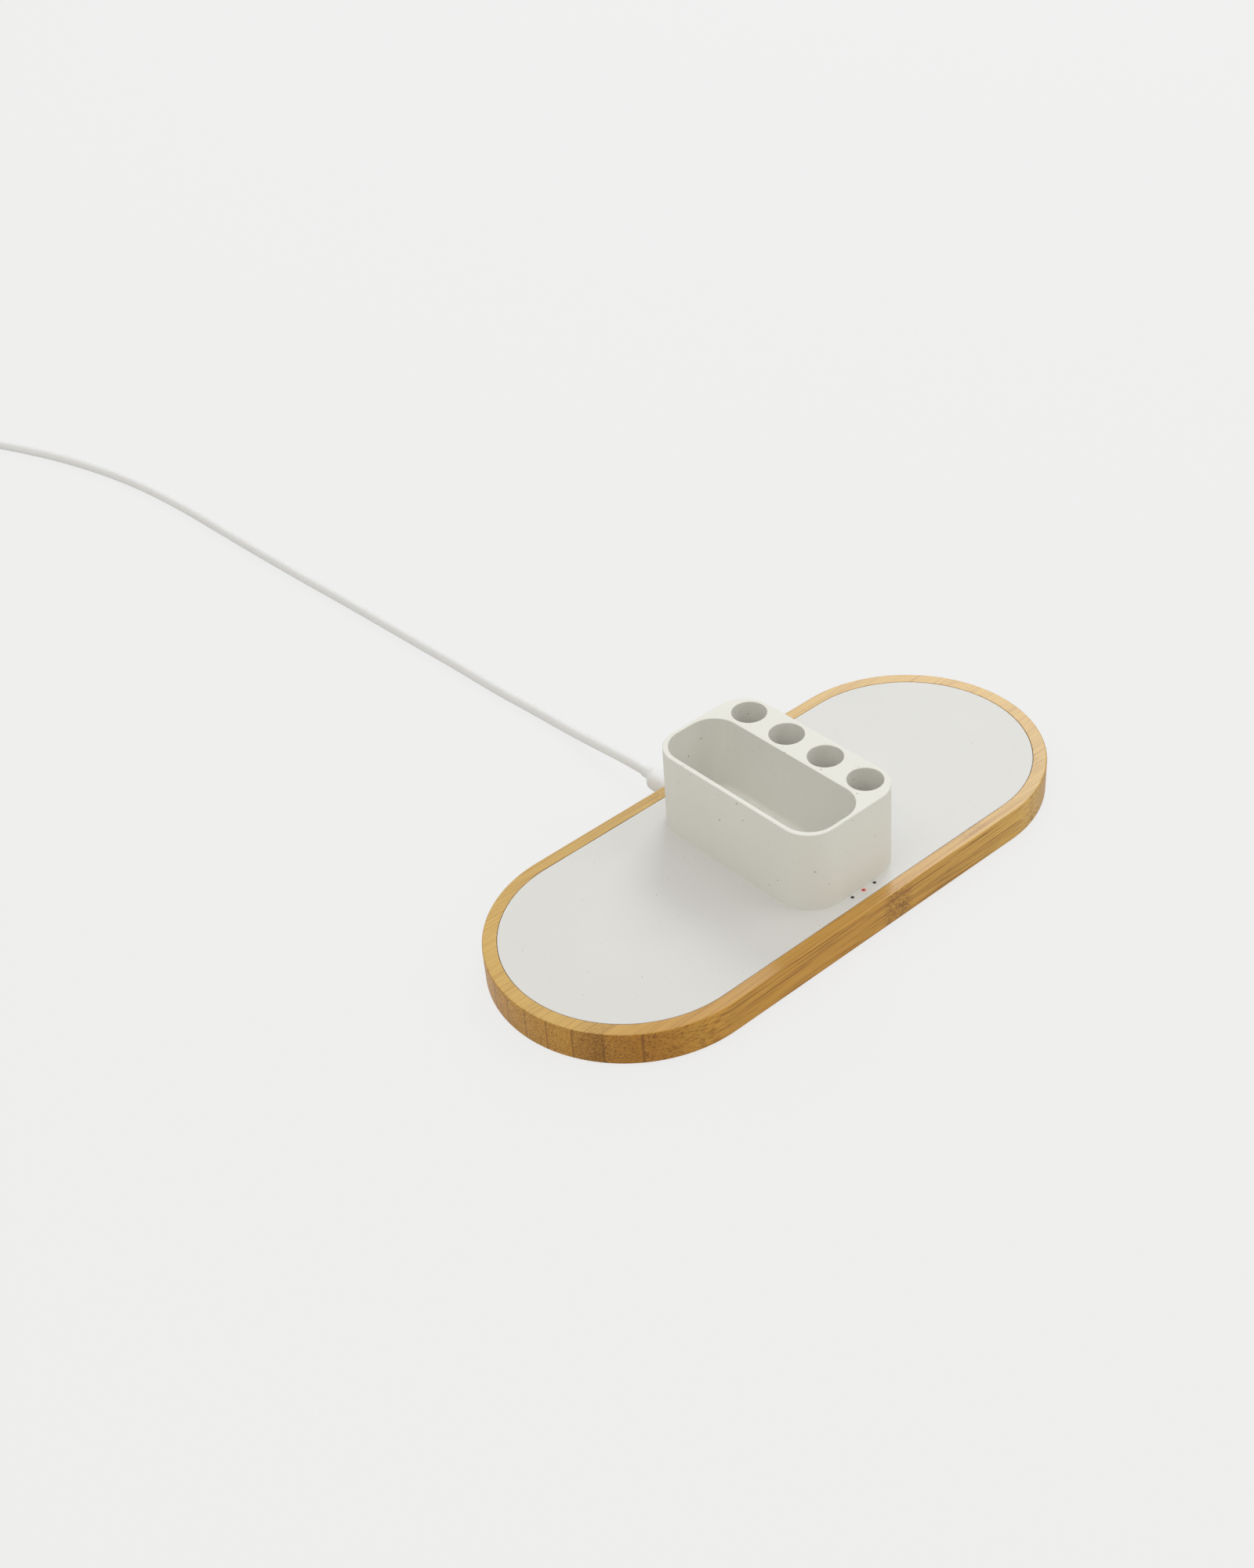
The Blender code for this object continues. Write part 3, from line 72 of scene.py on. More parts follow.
Pair = tuple[float, float]
Triple = tuple[float, float, float]
Outline = list[Pair]
Piece = bpy.types.Object
Material = bpy.types.Material
Node = bpy.types.Node
Tree = bpy.types.NodeTree


class Body(Enum):
    """The rigid bodies of the CAD model."""

    CHARGER = "charger"
    CABLE = "cable"


class Slot(Enum):
    """The record's material slots."""

    BAMBOO = "bamboo"
    COMPOSITE = "white_composite"
    BASE = "base_plastic"
    RUBBER = "rubber"
    SCREW = "screw_steel"
    BOARD = "board_green"
    FERRITE = "ferrite_grey"
    CHIP = "chip_black"
    CAPACITOR = "capacitor_tan"
    LED = "led_cream"
    COPPER = "copper"
    CLEAR_DARK = "clear_dark"
    CLEAR_RED = "clear_red"
    STEEL = "plated_steel"
    CONTACT = "contact_black"
    CORD = "cord_white"


class Cut(Enum):
    """What a Boolean does with its tool."""

    AWAY = "DIFFERENCE"
    JOIN = "UNION"


# Nodes and colours


def linear(colour: str) -> tuple[float, float, float, float]:
    """Turns a screen colour into scene light.

    Args:
        colour: Six hex digits of an sRGB colour.

    Returns:
        Red, green, blue and an alpha of one, linear.
    """
    shares = [int(colour[start:start + 2], 16) / 255 for start in (0, 2, 4)]
    red, green, blue = (s / 12.92 if s <= 0.04045 else ((s + 0.055) / 1.055) ** 2.4 for s in shares)
    return red, green, blue, 1.0


def feed(tree: Tree, target: bpy.types.NodeSocket, value: Any) -> None:
    """Gives an input its value or its link.

    Args:
        tree: The tree that holds the input.
        target: The input.
        value: A value, a socket, or a node, which stands for its first output in use.
    """
    if isinstance(value, Node):
        value = next(socket for socket in value.outputs if socket.enabled)
    if isinstance(value, bpy.types.NodeSocket):
        tree.links.new(value, target)
    else:
        target.default_value = value


def add_node(tree: Tree, kind: str, *placed: Any, **named: Any) -> Node:
    """Adds a node with its settings, values and links.

    Args:
        tree: The tree that takes the node.
        kind: The node's type.
        placed: What its inputs in use take, in their order.
        named: Properties of the node, and inputs by name with underscores for spaces.

    Returns:
        The new node.
    """
    node = tree.nodes.new(kind)
    inputs = {}
    for name, value in named.items():
        if hasattr(node, name):
            setattr(node, name, value)
        else:
            inputs[name.replace("_", " ")] = value
    usable = [socket for socket in node.inputs if socket.enabled]
    for target, value in zip(usable, placed):
        feed(tree, target, value)
    for name, value in inputs.items():
        feed(tree, next(socket for socket in usable if socket.name == name), value)
    return node


class Surface:
    """A Principled material in the making, with the piece's own coordinates in millimetres."""

    def __init__(self, name: str, **values: Any) -> None:
        """Starts the material.

        Args:
            name: What the real material is.
            values: The shader's inputs, as set takes them.
        """
        self.material = bpy.data.materials.new(name)
        self.material.use_nodes = True
        self.tree = self.material.node_tree
        self.set(**values)
        place = self.add("ShaderNodeTexCoord")
        self.mm = self.add(VECTOR_MATH, place.outputs["Object"], (TO_MM,) * 3, operation="MULTIPLY")

    def add(self, kind: str, *placed: Any, **named: Any) -> Node:
        """Adds a node to this material."""
        return add_node(self.tree, kind, *placed, **named)

    def set(self, **values: Any) -> None:
        """Sets or links inputs of the shader, named with underscores for spaces."""
        for name, value in values.items():
            feed(self.tree, self.tree.nodes["Principled BSDF"].inputs[name.replace("_", " ")], value)

    def shaded(self, colour: str, pattern: Node, low: float, high: float) -> Node:
        """A colour that is as bright as low where the pattern is 0, and as high where it is 1."""
        bright = self.add(RAMP, pattern, 0.0, 1.0, low, high)
        return self.add(VECTOR_MATH, linear(colour)[:3], bright, operation="SCALE")

    def finish(self, colour: Node, pattern: Node, rough: Pair, depth_mm: float) -> Material:
        """Links the colour, and the fine pattern that gives the roughness and the relief.

        Args:
            colour: Node with the colour.
            pattern: Node with the pattern, from 0 to 1.
            rough: Roughness where the pattern is 0 and where it is 1.
            depth_mm: Depth of the relief.

        Returns:
            The material.
        """
        relief = self.add("ShaderNodeBump", Strength=1.0, Distance=depth_mm / TO_MM, Height=pattern)
        self.set(Base_Color=colour, Roughness=self.add(RAMP, pattern, 0.0, 1.0, *rough), Normal=relief)
        return self.material


# Finishes


@dataclass(frozen=True)
class LaminatedBamboo:
    """Strips of caramelised bamboo glued side by side, milled, sanded and lacquered to a satin finish.

    The strips run along X and stand on edge. The top shows their edges as fine lines along X, the long sides show
    one strip's flat face with long dark streaks, and the milled ends show the cut fibre bundles as speckles, in
    blocks that each have a tone of their own.
    """

    edge_grain: str = "D4AE66"
    flat_grain: str = "DDB35F"
    end_grain: str = "C69341"
    streak: str = "8F5E24"
    line: str = "A2642F"
    bundle: str = "7A4E20"
    pith: str = "D3A85E"
    front_depth: Triple = (0.90, 0.75, 0.50)
    front_mm: Pair = (-56.0, -14.0)
    # Where the front strips turn plainer along X, in mm: partly their own tone, partly a painted highlight.
    tone_and_highlight_mm: Pair = (-20.0, 105.0)
    strip_mm: float = 9.75
    joint_mm: float = -4.6
    glue_share: Pair = (0.045, 0.010)
    strip_shift_mm: float = 90.0
    tone_seed: float = 309.0
    node_mm: float = 281.5
    node_step_mm: float = 45.33
    node_every_mm: float = 260.0
    node_half_mm: float = 8.5

    def build(self) -> Material:
        """Builds the material.

        Returns:
            The material.
        """
        made = Surface("laminated_bamboo_satin_lacquer", Specular_IOR_Level=0.20, Coat_Roughness=0.22)
        add = made.add
        place = add(PARTS, made.mm).outputs
        across = add(MATH, place["Y"], 1 / self.strip_mm, -self.joint_mm / self.strip_mm, operation="MULTIPLY_ADD")
        strip = add(MATH, across, operation="FLOOR")
        inside = add(MATH, across, operation="FRACT")
        draw = add(MATH, strip, self.tone_seed, operation="ADD")
        tone = add("ShaderNodeTexWhiteNoise", W=draw, noise_dimensions="1D").outputs
        shift = add(VECTOR_MATH, tone["Color"], self.strip_shift_mm, operation="SCALE")
        moved = add(VECTOR_MATH, made.mm, shift, operation="ADD")
        along = add(VECTOR_MATH, moved, (0.020, 1.0, 1.0), operation="MULTIPLY")
        length = add(VECTOR_MATH, moved, (0.006, 1.0, 0.35), operation="MULTIPLY")

        # How far a face is a top, and how far it is a milled end.
        facing = add(PARTS, add("ShaderNodeNewGeometry").outputs["Normal"]).outputs
        rise = add(MATH, facing["Z"], operation="ABSOLUTE")
        top = add(RAMP, rise, 0.55, 0.85, interpolation_type="SMOOTHSTEP")
        aside = add(MATH, facing["X"], operation="ABSOLUTE")
        end = add(RAMP, aside, 0.22, 0.60, interpolation_type="SMOOTHSTEP")
        wall = add(MATH, 1.0, top, operation="SUBTRACT")
        milled = add(MATH, end, wall, operation="MULTIPLY")

        # Fibres are about 0.3 mm across and are drawn at 0.6 mm; fibre bundles are about 0.5 mm and drawn at 0.8 mm.
        fine = add(NOISE, along, Scale=1.6, Detail=4.0, Roughness=0.7)
        broad = add(NOISE, along, Scale=0.40, Detail=2.0)
        sparse = add(NOISE, length, Scale=1.9, Detail=1.0)
        cells = add(CELLS, along, Scale=1.25).outputs

        side = add(MIX, end, linear(self.flat_grain), linear(self.end_grain), data_type="RGBA")
        plain = add(MIX, top, side, linear(self.edge_grain), data_type="RGBA")

        # Long streaks and fibres on the flat faces, fainter on the edges; on the end grain the streaks are faint too.
        wavy = add(RAMP, broad, 0.46, 0.66, 0.0, 0.28)
        off_end = add(RAMP, end, 0.0, 1.0, 1.0, 0.35)
        off_top = add(RAMP, top, 0.0, 1.0, 1.0, 0.50)
        kept = add(MATH, off_end, off_top, operation="MULTIPLY")
        streaks = add(MATH, wavy, kept, operation="MULTIPLY")
        fibres = add(RAMP, fine, 0.50, 0.64, 0.0, 0.70)
        both = add(MATH, streaks, fibres, operation="ADD")
        weight = add(MATH, both, off_top, operation="MULTIPLY")
        lined = add(MIX, weight, plain, linear(self.streak), data_type="RGBA")

        # Sparse reddish lines, single vascular bundles, that cross the whole rim.
        thin = add(RAMP, sparse, 0.655, 0.69, 0.0, 0.45)
        crossed = add(MIX, thin, lined, linear(self.line), data_type="RGBA")

        # End grain: dark bundles and pale pith, thicker on one side of each strip, where the culm's skin was.
        dense = add(RAMP, inside, 0.0, 1.0, 0.35, 1.0)
        dots = add(RAMP, cells["Distance"], 0.22, 0.52, 0.90, 0.0)
        packed = add(MATH, dots, dense, operation="MULTIPLY")
        bundles = add(MATH, packed, milled, operation="MULTIPLY")
        chance = add("ShaderNodeSeparateColor", cells["Color"]).outputs["Red"]
        pale = add(MATH, chance, 0.42, operation="LESS_THAN")
        fleck = add(MIX, pale, linear(self.bundle), linear(self.pith), data_type="RGBA")
        speckled = add(MIX, bundles, crossed, fleck, data_type="RGBA")

        # The front strips are deeper in colour; towards the right they turn plainer, partly their own paler tone and
        # partly a painted highlight where the key lamp's reflection falls.
        inner = add(RAMP, place["Y"], *self.front_mm, interpolation_type="SMOOTHSTEP")
        paler_and_highlit = add(RAMP, place["X"], *self.tone_and_highlight_mm, interpolation_type="SMOOTHSTEP")
        plainer = add(MATH, inner, paler_and_highlit, operation="MAXIMUM")
        depth = add(MIX, plainer, (*self.front_depth, 1.0), (1.0,) * 4, data_type="RGBA")
        deepened = add(VECTOR_MATH, speckled, depth, operation="MULTIPLY")

        # Each strip has its tone, plainest to see on the milled ends.
        spread = add(RAMP, milled, 0.0, 1.0, 0.10, 0.34)
        lift = add(MATH, tone["Value"], -0.5, operation="ADD")
        bright = add(MATH, lift, spread, 1.0, operation="MULTIPLY_ADD")
        toned = add(VECTOR_MATH, deepened, bright, operation="SCALE")

        # A glue line is 0.1 mm wide and is drawn at about 0.5 mm; it shows on the milled ends.
        centred = add(MATH, inside, 0.5, operation="SUBTRACT")
        edge = add(MATH, centred, operation="ABSOLUTE")
        glue = add(RAMP, edge, 0.5 - self.glue_share[0], 0.5 - self.glue_share[1], 0.0, 0.62)
        seen = add(RAMP, milled, 0.0, 1.0, 0.12, 1.0)
        joint = add(MATH, glue, seen, operation="MULTIPLY")
        glued = add(MIX, joint, toned, linear(self.bundle), data_type="RGBA")

        # Where the culm had a node, each strip has a band of brown speckles, at a place of its own.
        spot = add(MATH, strip, self.node_step_mm, self.node_mm, operation="MULTIPLY_ADD")
        apart = add(MATH, place["X"], spot, operation="SUBTRACT")
        wrapped = add(MATH, apart, -self.node_every_mm / 2, self.node_every_mm / 2, operation="WRAP")
        near = add(MATH, wrapped, operation="ABSOLUTE")
        band = add(RAMP, near, self.node_half_mm * 0.55, self.node_half_mm, 1.0, 0.0)
        grains = add(NOISE, made.mm, Scale=1.3, Detail=2.0, Roughness=0.6)
        flecks = add(RAMP, grains, 0.46, 0.54, 0.1)
        mark = add(MATH, band, flecks, operation="MULTIPLY")
        faded = add(MATH, mark, add(RAMP, top, 0.0, 1.0, 0.62, 0.25), operation="MULTIPLY")
        colour = add(MIX, faded, glued, linear(self.bundle), data_type="RGBA")

        # The rim is lacquered and buffed; the walls drink more of the lacquer and stay duller.
        made.set(Coat_Weight=add(RAMP, top, 0.0, 1.0, 0.12, 0.42))
        return made.finish(colour, fine, (0.38, 0.52), 0.04)


@dataclass(frozen=True)
class FleckedComposite:
    """Injection-moulded polypropylene filled with plant fibre: matte warm white with sparse fine flecks."""

    name: str
    colour: str
    fleck: str
    # Cell size and fleck radius in mm, share of cells with a fleck, and the darkest fleck's strength.
    flecks: tuple[tuple[float, float, float, float], ...]
    lamp_mm: Triple | None = None
    # The painted glow round the lit pin, put into the plate's colour: its colour, where it starts and ends its fade
    # in mm, and its strength.
    halo: str = "F4BDB2"
    halo_mm: Pair = (0.6, 1.9)
    halo_strength: float = 0.75

    def build(self) -> Material:
        """Builds the material.

        Returns:
            The material.
        """
        made = Surface(self.name, Specular_IOR_Level=0.4)
        add = made.add
        bent = add(NOISE, made.mm, Scale=0.9, Detail=1.0)
        push = add(VECTOR_MATH, bent.outputs["Color"], 1.4, operation="SCALE")
        warped = add(VECTOR_MATH, made.mm, push, operation="ADD")
        factor: Node | float = 0.0
        for cell_mm, radius_mm, share, strength in self.flecks:
            cells = add(CELLS, warped, Scale=1 / cell_mm).outputs
            dots = add(RAMP, cells["Distance"], 0.5 * radius_mm / cell_mm, radius_mm / cell_mm, 1.0, 0.0)
            chance = add("ShaderNodeSeparateColor", cells["Color"]).outputs
            kept = add(MATH, chance["Red"], share, operation="LESS_THAN")
            weight = add(RAMP, chance["Green"], 0.0, 1.0, 0.3 * strength, strength)
            shown = add(MATH, dots, kept, operation="MULTIPLY")
            factor = add(MATH, shown, weight, factor, operation="MULTIPLY_ADD")

        body = made.shaded(self.colour, add(NOISE, made.mm, Scale=0.03, Detail=2.0), 0.97, 1.03)
        colour = add(MIX, factor, body, linear(self.fleck), data_type="RGBA")
        if self.lamp_mm is not None:
            # Painted glow: the lit pin's light, which spreads a little in the translucent plate, is painted into the
            # plate's colour.
            away = add(VECTOR_MATH, made.mm, self.lamp_mm, operation="DISTANCE")
            glow = add(RAMP, away, *self.halo_mm, 1.0, 0.0, interpolation_type="SMOOTHSTEP")
            painted_glow_share = add(MATH, glow, self.halo_strength, operation="MULTIPLY")
            colour = add(MIX, painted_glow_share, colour, linear(self.halo), data_type="RGBA")

        # The mould's spark-eroded texture is about 0.05 mm and is drawn at 0.4 mm, very shallow.
        return made.finish(colour, add(NOISE, made.mm, Scale=2.4, Detail=2.0), (0.50, 0.62), 0.012)


@dataclass(frozen=True)
class MouldedPlain:
    """A moulded or cast surface of one colour: slight clouding in the colour and a fine skin texture."""

    name: str
    colour: str
    roughness: float
    grain_mm: float = 0.4
    relief_mm: float = 0.01
    clouding: float = 0.04
    glow: str = "FFFFFF"
    glow_strength: float = 0.0

    def build(self) -> Material:
        """Builds the material.

        Returns:
            The material.
        """
        made = Surface(self.name, Emission_Color=linear(self.glow), Emission_Strength=self.glow_strength)
        cloud = made.add(NOISE, made.mm, Scale=0.12, Detail=2.0)
        colour = made.shaded(self.colour, cloud, 1 - self.clouding, 1 + self.clouding)
        grain = made.add(NOISE, made.mm, Scale=1 / self.grain_mm, Detail=3.0)
        return made.finish(colour, grain, (self.roughness - 0.05, self.roughness + 0.05), self.relief_mm)


@dataclass(frozen=True)
class PlatedMetal:
    """Steel or copper with a thin bright skin: fine draw lines along one axis spread its gloss."""

    name: str
    colour: str
    roughness: float
    stretch: Triple
    line_mm: float

    def build(self) -> Material:
        """Builds the material.

        Returns:
            The material.
        """
        made = Surface(self.name, Metallic=1.0)
        drawn = made.add(VECTOR_MATH, made.mm, self.stretch, operation="MULTIPLY")
        lines = made.add(NOISE, drawn, Scale=1 / self.line_mm, Detail=2.0)
        colour = made.shaded(self.colour, lines, 0.93, 1.05)
        return made.finish(colour, lines, (self.roughness - 0.08, self.roughness + 0.1), 0.004)


@dataclass(frozen=True)
class SolderMask:
    """Glass-epoxy board under a glossy green mask, with copper tracks showing through as paler lines."""

    mask: str = "1F5B3A"
    track: str = "3C7D52"

    def build(self) -> Material:
        """Builds the material.

        Returns:
            The material.
        """
        made = Surface("glass_epoxy_board_green_mask", Coat_Weight=0.4, Coat_Roughness=0.15)
        # The tracks lie between fields of about 3.6 mm.
        fields = made.add(CELLS, made.mm, Scale=0.28, Randomness=0.35, distance="CHEBYCHEV")
        edge = made.add(RAMP, fields.outputs["Distance"], 0.30, 0.36)
        colour = made.add(MIX, edge, linear(self.mask), linear(self.track), data_type="RGBA")
        return made.finish(colour, edge, (0.35, 0.28), 0.03)


@dataclass(frozen=True)
class ElastomerJacket:
    """Thermoplastic elastomer, extruded on the lead and moulded on its plugs: soft satin white."""

    colour: str = "ECECF0"

    def build(self) -> Material:
        """Builds the material.

        Returns:
            The material.
        """
        made = Surface("elastomer_jacket_satin_white", Sheen_Weight=0.15, Sheen_Roughness=0.5,
                       Subsurface_Weight=0.06, Subsurface_Scale=0.002)
        colour = made.shaded(self.colour, made.add(NOISE, made.mm, Scale=0.05, Detail=1.0), 0.975, 1.02)
        # The die's fine lines are under 0.1 mm and are drawn at 0.3 mm.
        return made.finish(colour, made.add(NOISE, made.mm, Scale=3.0, Detail=2.0), (0.42, 0.54), 0.008)


# Outlines and skins


def arc(centre: Pair, radius: float, start: float, stop: float, steps: int) -> Outline:
    """Points along an arc, both ends included."""
    angles = [start + (stop - start) * step / steps for step in range(steps + 1)]
    return [(centre[0] + radius * math.cos(a), centre[1] + radius * math.sin(a)) for a in angles]


def stadium(size_x: float, size_y: float, steps: int) -> Outline:
    """A shape with straight long sides and round ends.

    Args:
        size_x: Its whole length.
        size_y: Its whole width.
        steps: Facets of each round end.

    Returns:
        Its points.
    """
    radius = size_y / 2
    reach = size_x / 2 - radius
    return (arc((reach, 0), radius, -QUARTER, QUARTER, steps)
            + arc((-reach, 0), radius, QUARTER, 3 * QUARTER, steps))


def rounded_rectangle(size_x: float, size_y: float, radius: float, steps: int, centre: Pair = (0.0, 0.0)) -> Outline:
    """A rectangle with round corners.

    Args:
        size_x: Its whole length.
        size_y: Its whole width.
        radius: Radius of a corner.
        steps: Facets of each corner.
        centre: Its middle.

    Returns:
        Its points.
    """
    points: Outline = []
    for quarter, (sign_x, sign_y) in enumerate(((1, 1), (-1, 1), (-1, -1), (1, -1))):
        corner = (centre[0] + sign_x * (size_x / 2 - radius), centre[1] + sign_y * (size_y / 2 - radius))
        points += arc(corner, radius, quarter * QUARTER, (quarter + 1) * QUARTER, steps)
    return points


def matching_circle(radius: float, steps: int) -> Outline:
    """A circle whose points answer those of a rounded rectangle, one to one.

    Args:
        radius: Its radius.
        steps: Facets of each corner of that rectangle.

    Returns:
        Its points.
    """
    count = 4 * (steps + 1)
    first = math.pi / count
    return arc((0, 0), radius, first, first + 2 * math.pi, count)[:-1]


def quarter_round(radius: float, steps: int) -> list[Pair]:
    """(drawn in, still to go) along a rounded edge, from the side wall to the flat face."""
    angles = [QUARTER * step / steps for step in range(steps + 1)]
    return [(radius * (1 - math.cos(a)), radius * (1 - math.sin(a))) for a in angles]


def rod(radius: float, low: float, high: float) -> list[Pair]:
    """(radius, height) points of a plain rod, for turning."""
    return [(0, low), (radius, low), (radius, high), (0, high)]


def level(outline: Sequence[Pair], height: float) -> list[Vector]:
    """An outline at one height."""
    return [Vector((x, y, height)) for x, y in outline]


def eased(share: float) -> float:
    """A share from 0 to 1 that starts and ends level."""
    held = min(1.0, max(0.0, share))
    return held * held * (3 - 2 * held)


def add_object(name: str, data: bpy.types.ID | None) -> Piece:
    """Adds an object to the scene.

    Args:
        name: Its name.
        data: Its mesh, curve, lamp or camera.

    Returns:
        The object.
    """
    made = bpy.data.objects.new(name, data)
    bpy.context.scene.collection.objects.link(made)
    return made


class Skin:
    """Collects closed skins and makes one piece of them."""

    def __init__(self) -> None:
        """Starts an empty skin."""
        self.mesh = bmesh.new()

    def loft(self, rings: Sequence[Sequence[Vector]], looped: bool = False) -> "Skin":
        """Joins rings of equal length.

        Args:
            rings: The rings, in order.
            looped: Whether the last ring joins the first, in place of two flat ends.

        Returns:
            This skin.
        """
        rows = [[self.mesh.verts.new(point) for point in ring] for ring in rings]
        pairs = list(zip(rows, rows[1:])) + ([(rows[-1], rows[0])] if looped else [])
        faces = []
        for low, high in pairs:
            for index, after in zip(range(len(low)), [*range(1, len(low)), 0]):
                faces.append(self.mesh.faces.new((low[index], low[after], high[after], high[index])))
        if not looped:
            faces += [self.mesh.faces.new(rows[0][::-1]), self.mesh.faces.new(rows[-1])]
        bmesh.ops.recalc_face_normals(self.mesh, faces=faces)
        return self

    def piece(self, name: str, place: Matrix | None = None) -> Piece:
        """Makes the object, with its place in its mesh.

        Args:
            name: Its name.
            place: Where it lies, if not as drawn.

        Returns:
            The piece.
        """
        data = bpy.data.meshes.new(name)
        self.mesh.to_mesh(data)
        self.mesh.free()
        if place is not None:
            data.transform(place)
        return add_object(name, data)


def bake(piece: Piece) -> Piece:
    """Turns a piece with its modifiers into a plain mesh.

    Args:
        piece: The piece.

    Returns:
        The same object, with no modifiers.
    """
    graph = bpy.context.evaluated_depsgraph_get()
    plain = bpy.data.meshes.new_from_object(piece.evaluated_get(graph), depsgraph=graph)
    piece.modifiers.clear()
    piece.data = plain
    return piece


def carve(piece: Piece, tool: Piece, cut: Cut) -> None:
    """Applies a Boolean and removes its tool.

    Args:
        piece: The piece that is changed.
        tool: The closed body that cuts or joins; it doesn't cross itself, which the exact solver can't take.
        cut: What is done with it.
    """
    modifier = piece.modifiers.new("carve", "BOOLEAN")
    modifier.operation = cut.value
    modifier.solver = "EXACT"
    modifier.object = tool
    bake(piece)
    bpy.data.objects.remove(tool)


def dress(piece: Piece, material: Material) -> Piece:
    """Gives a piece its material and smooth shading that leaves flat faces flat.

    Args:
        piece: The piece.
        material: Its finish.

    Returns:
        The same object.
    """
    piece.data.materials.clear()
    piece.data.materials.append(material)
    piece.data.shade_smooth()
    piece.data.set_sharp_from_angle(angle=SMOOTH_ANGLE)
    modifier = piece.modifiers.new("even_shading", "WEIGHTED_NORMAL")
    modifier.keep_sharp = True
    modifier.weight = 100
    return bake(piece)


def join_frame(piece: Piece, body: Body, nodes: Sequence[str] = ()) -> Piece:
    """Gives a piece to the frame and reports it.

    Args:
        piece: The piece.
        body: The body that it moves with.
        nodes: CAD nodes that it stands for.

    Returns:
        The same object.
    """
    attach(piece, body.value)
    if nodes:
        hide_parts(*nodes)
    LOG.info("%s rides on %s and stands for %s", piece.name, body.value, ", ".join(nodes) or "nothing")
    return piece


# Geometry Nodes


class TurnedPattern:
    """A tree that turns a profile about Z, may cut a driver's recess in it, and sets it at given places."""

    INPUTS = {"Profile": "Object", "Recess": "Object", "Recessed": "Bool", "Sides": "Int", "Turn": "Float",
              "Seed": "Int", "Finish": "Material"}

    def __init__(self) -> None:
        """Builds the tree."""
        self.tree = bpy.data.node_groups.new("turned_pattern", "GeometryNodeTree")
        face = self.tree.interface
        face.new_socket(name="Places", in_out="INPUT", socket_type="NodeSocketGeometry")
        self.sockets = {name: face.new_socket(name=name, in_out="INPUT", socket_type="NodeSocket" + kind).identifier
                        for name, kind in self.INPUTS.items()}
        face.new_socket(name="Geometry", in_out="OUTPUT", socket_type="NodeSocketGeometry")

        def add(kind: str, *placed: Any, **named: Any) -> Node:
            """Adds a node to this tree."""
            return add_node(self.tree, kind, *placed, **named)

        # The grid has a column of points for each side and one more to close it, each with the profile's points.
        given = add("NodeGroupInput").outputs
        profile = add("GeometryNodeObjectInfo", given["Profile"]).outputs["Geometry"]
        count = add("GeometryNodeAttributeDomainSize", profile, component="MESH").outputs["Point Count"]
        columns = add(MATH, given["Sides"], 1.0, operation="ADD")
        grid = add("GeometryNodeMeshGrid", Vertices_X=columns, Vertices_Y=count).outputs["Mesh"]
        index = add("GeometryNodeInputIndex")
        row = add(MATH, index, count, operation="MODULO")
        column = add(MATH, add(MATH, index, count, operation="DIVIDE"), operation="FLOOR")
        spot = add("GeometryNodeSampleIndex", profile, add("GeometryNodeInputPosition"), row,
                   data_type="FLOAT_VECTOR", domain="POINT")
        parts = add(PARTS, spot).outputs
        share = add(MATH, column, given["Sides"], operation="DIVIDE")
        angle = add(MATH, share, 2 * math.pi, operation="MULTIPLY")
        flat = [add(MATH, parts["X"], add(MATH, angle, operation=turn), operation="MULTIPLY")
                for turn in ("COSINE", "SINE")]
        around = add("ShaderNodeCombineXYZ", *flat, parts["Z"])
        wound = add("GeometryNodeSetPosition", grid, Position=around)
        closed = add("GeometryNodeMergeByDistance", wound, Distance=MERGE_DISTANCE)

        driver = add("GeometryNodeObjectInfo", given["Recess"]).outputs["Geometry"]
        recessed = add("GeometryNodeMeshBoolean", closed, driver, operation="DIFFERENCE", solver="EXACT")
        master = add("GeometryNodeSwitch", given["Recessed"], closed, recessed.outputs["Mesh"], input_type="GEOMETRY")
        most = add("ShaderNodeCombineXYZ", Z=given["Turn"])
        turned = add("FunctionNodeRandomValue", Max=most, Seed=given["Seed"], data_type="FLOAT_VECTOR")
        placed = add("GeometryNodeInstanceOnPoints", given["Places"], Instance=master, Rotation=turned)
        real = add("GeometryNodeRealizeInstances", placed)
        add("NodeGroupOutput", add("GeometryNodeSetMaterial", real, Material=given["Finish"]))

    def make(self, name: str, profile: Sequence[Pair], places: Sequence[Pair], material: Material, sides: int,
             recess: Piece | None = None) -> Piece:
        """Makes one plain mesh with a turned body at each place.

        Args:
            name: Name of the piece.
            profile: (radius, height) points from one end of the axis to the other.
            places: (x, y) of each copy.
            material: Finish of every copy.
            sides: Number of sides of the turned body.
            recess: Closed body that is cut from each copy, if any; each copy then has a random turn.

        Returns:
            The piece.
        """
        line, spots = (bpy.data.meshes.new(label) for label in (name + "_profile", name))
        line.from_pydata([(radius, 0, height) for radius, height in profile],
                         [(step, step + 1) for step in range(len(profile) - 1)], [])
        spots.from_pydata([(x, y, 0) for x, y in places], [], [])
        guide, made = add_object(name + "_profile", line), add_object(name, spots)
        modifier = made.modifiers.new("pattern", "NODES")
        modifier.node_group = self.tree
        values = {"Profile": guide, "Recess": recess, "Recessed": recess is not None, "Sides": sides,
                  "Turn": math.pi if recess else 0.0, "Seed": len(places), "Finish": material}
        for key, value in values.items():
            modifier[self.sockets[key]] = value
        bake(made)
        shape = bmesh.new()
        shape.from_mesh(made.data)
        bmesh.ops.recalc_face_normals(shape, faces=shape.faces)
        shape.to_mesh(made.data)
        shape.free()
        for helper in filter(None, (guide, recess)):
            bpy.data.objects.remove(helper)
        return made


# Studio


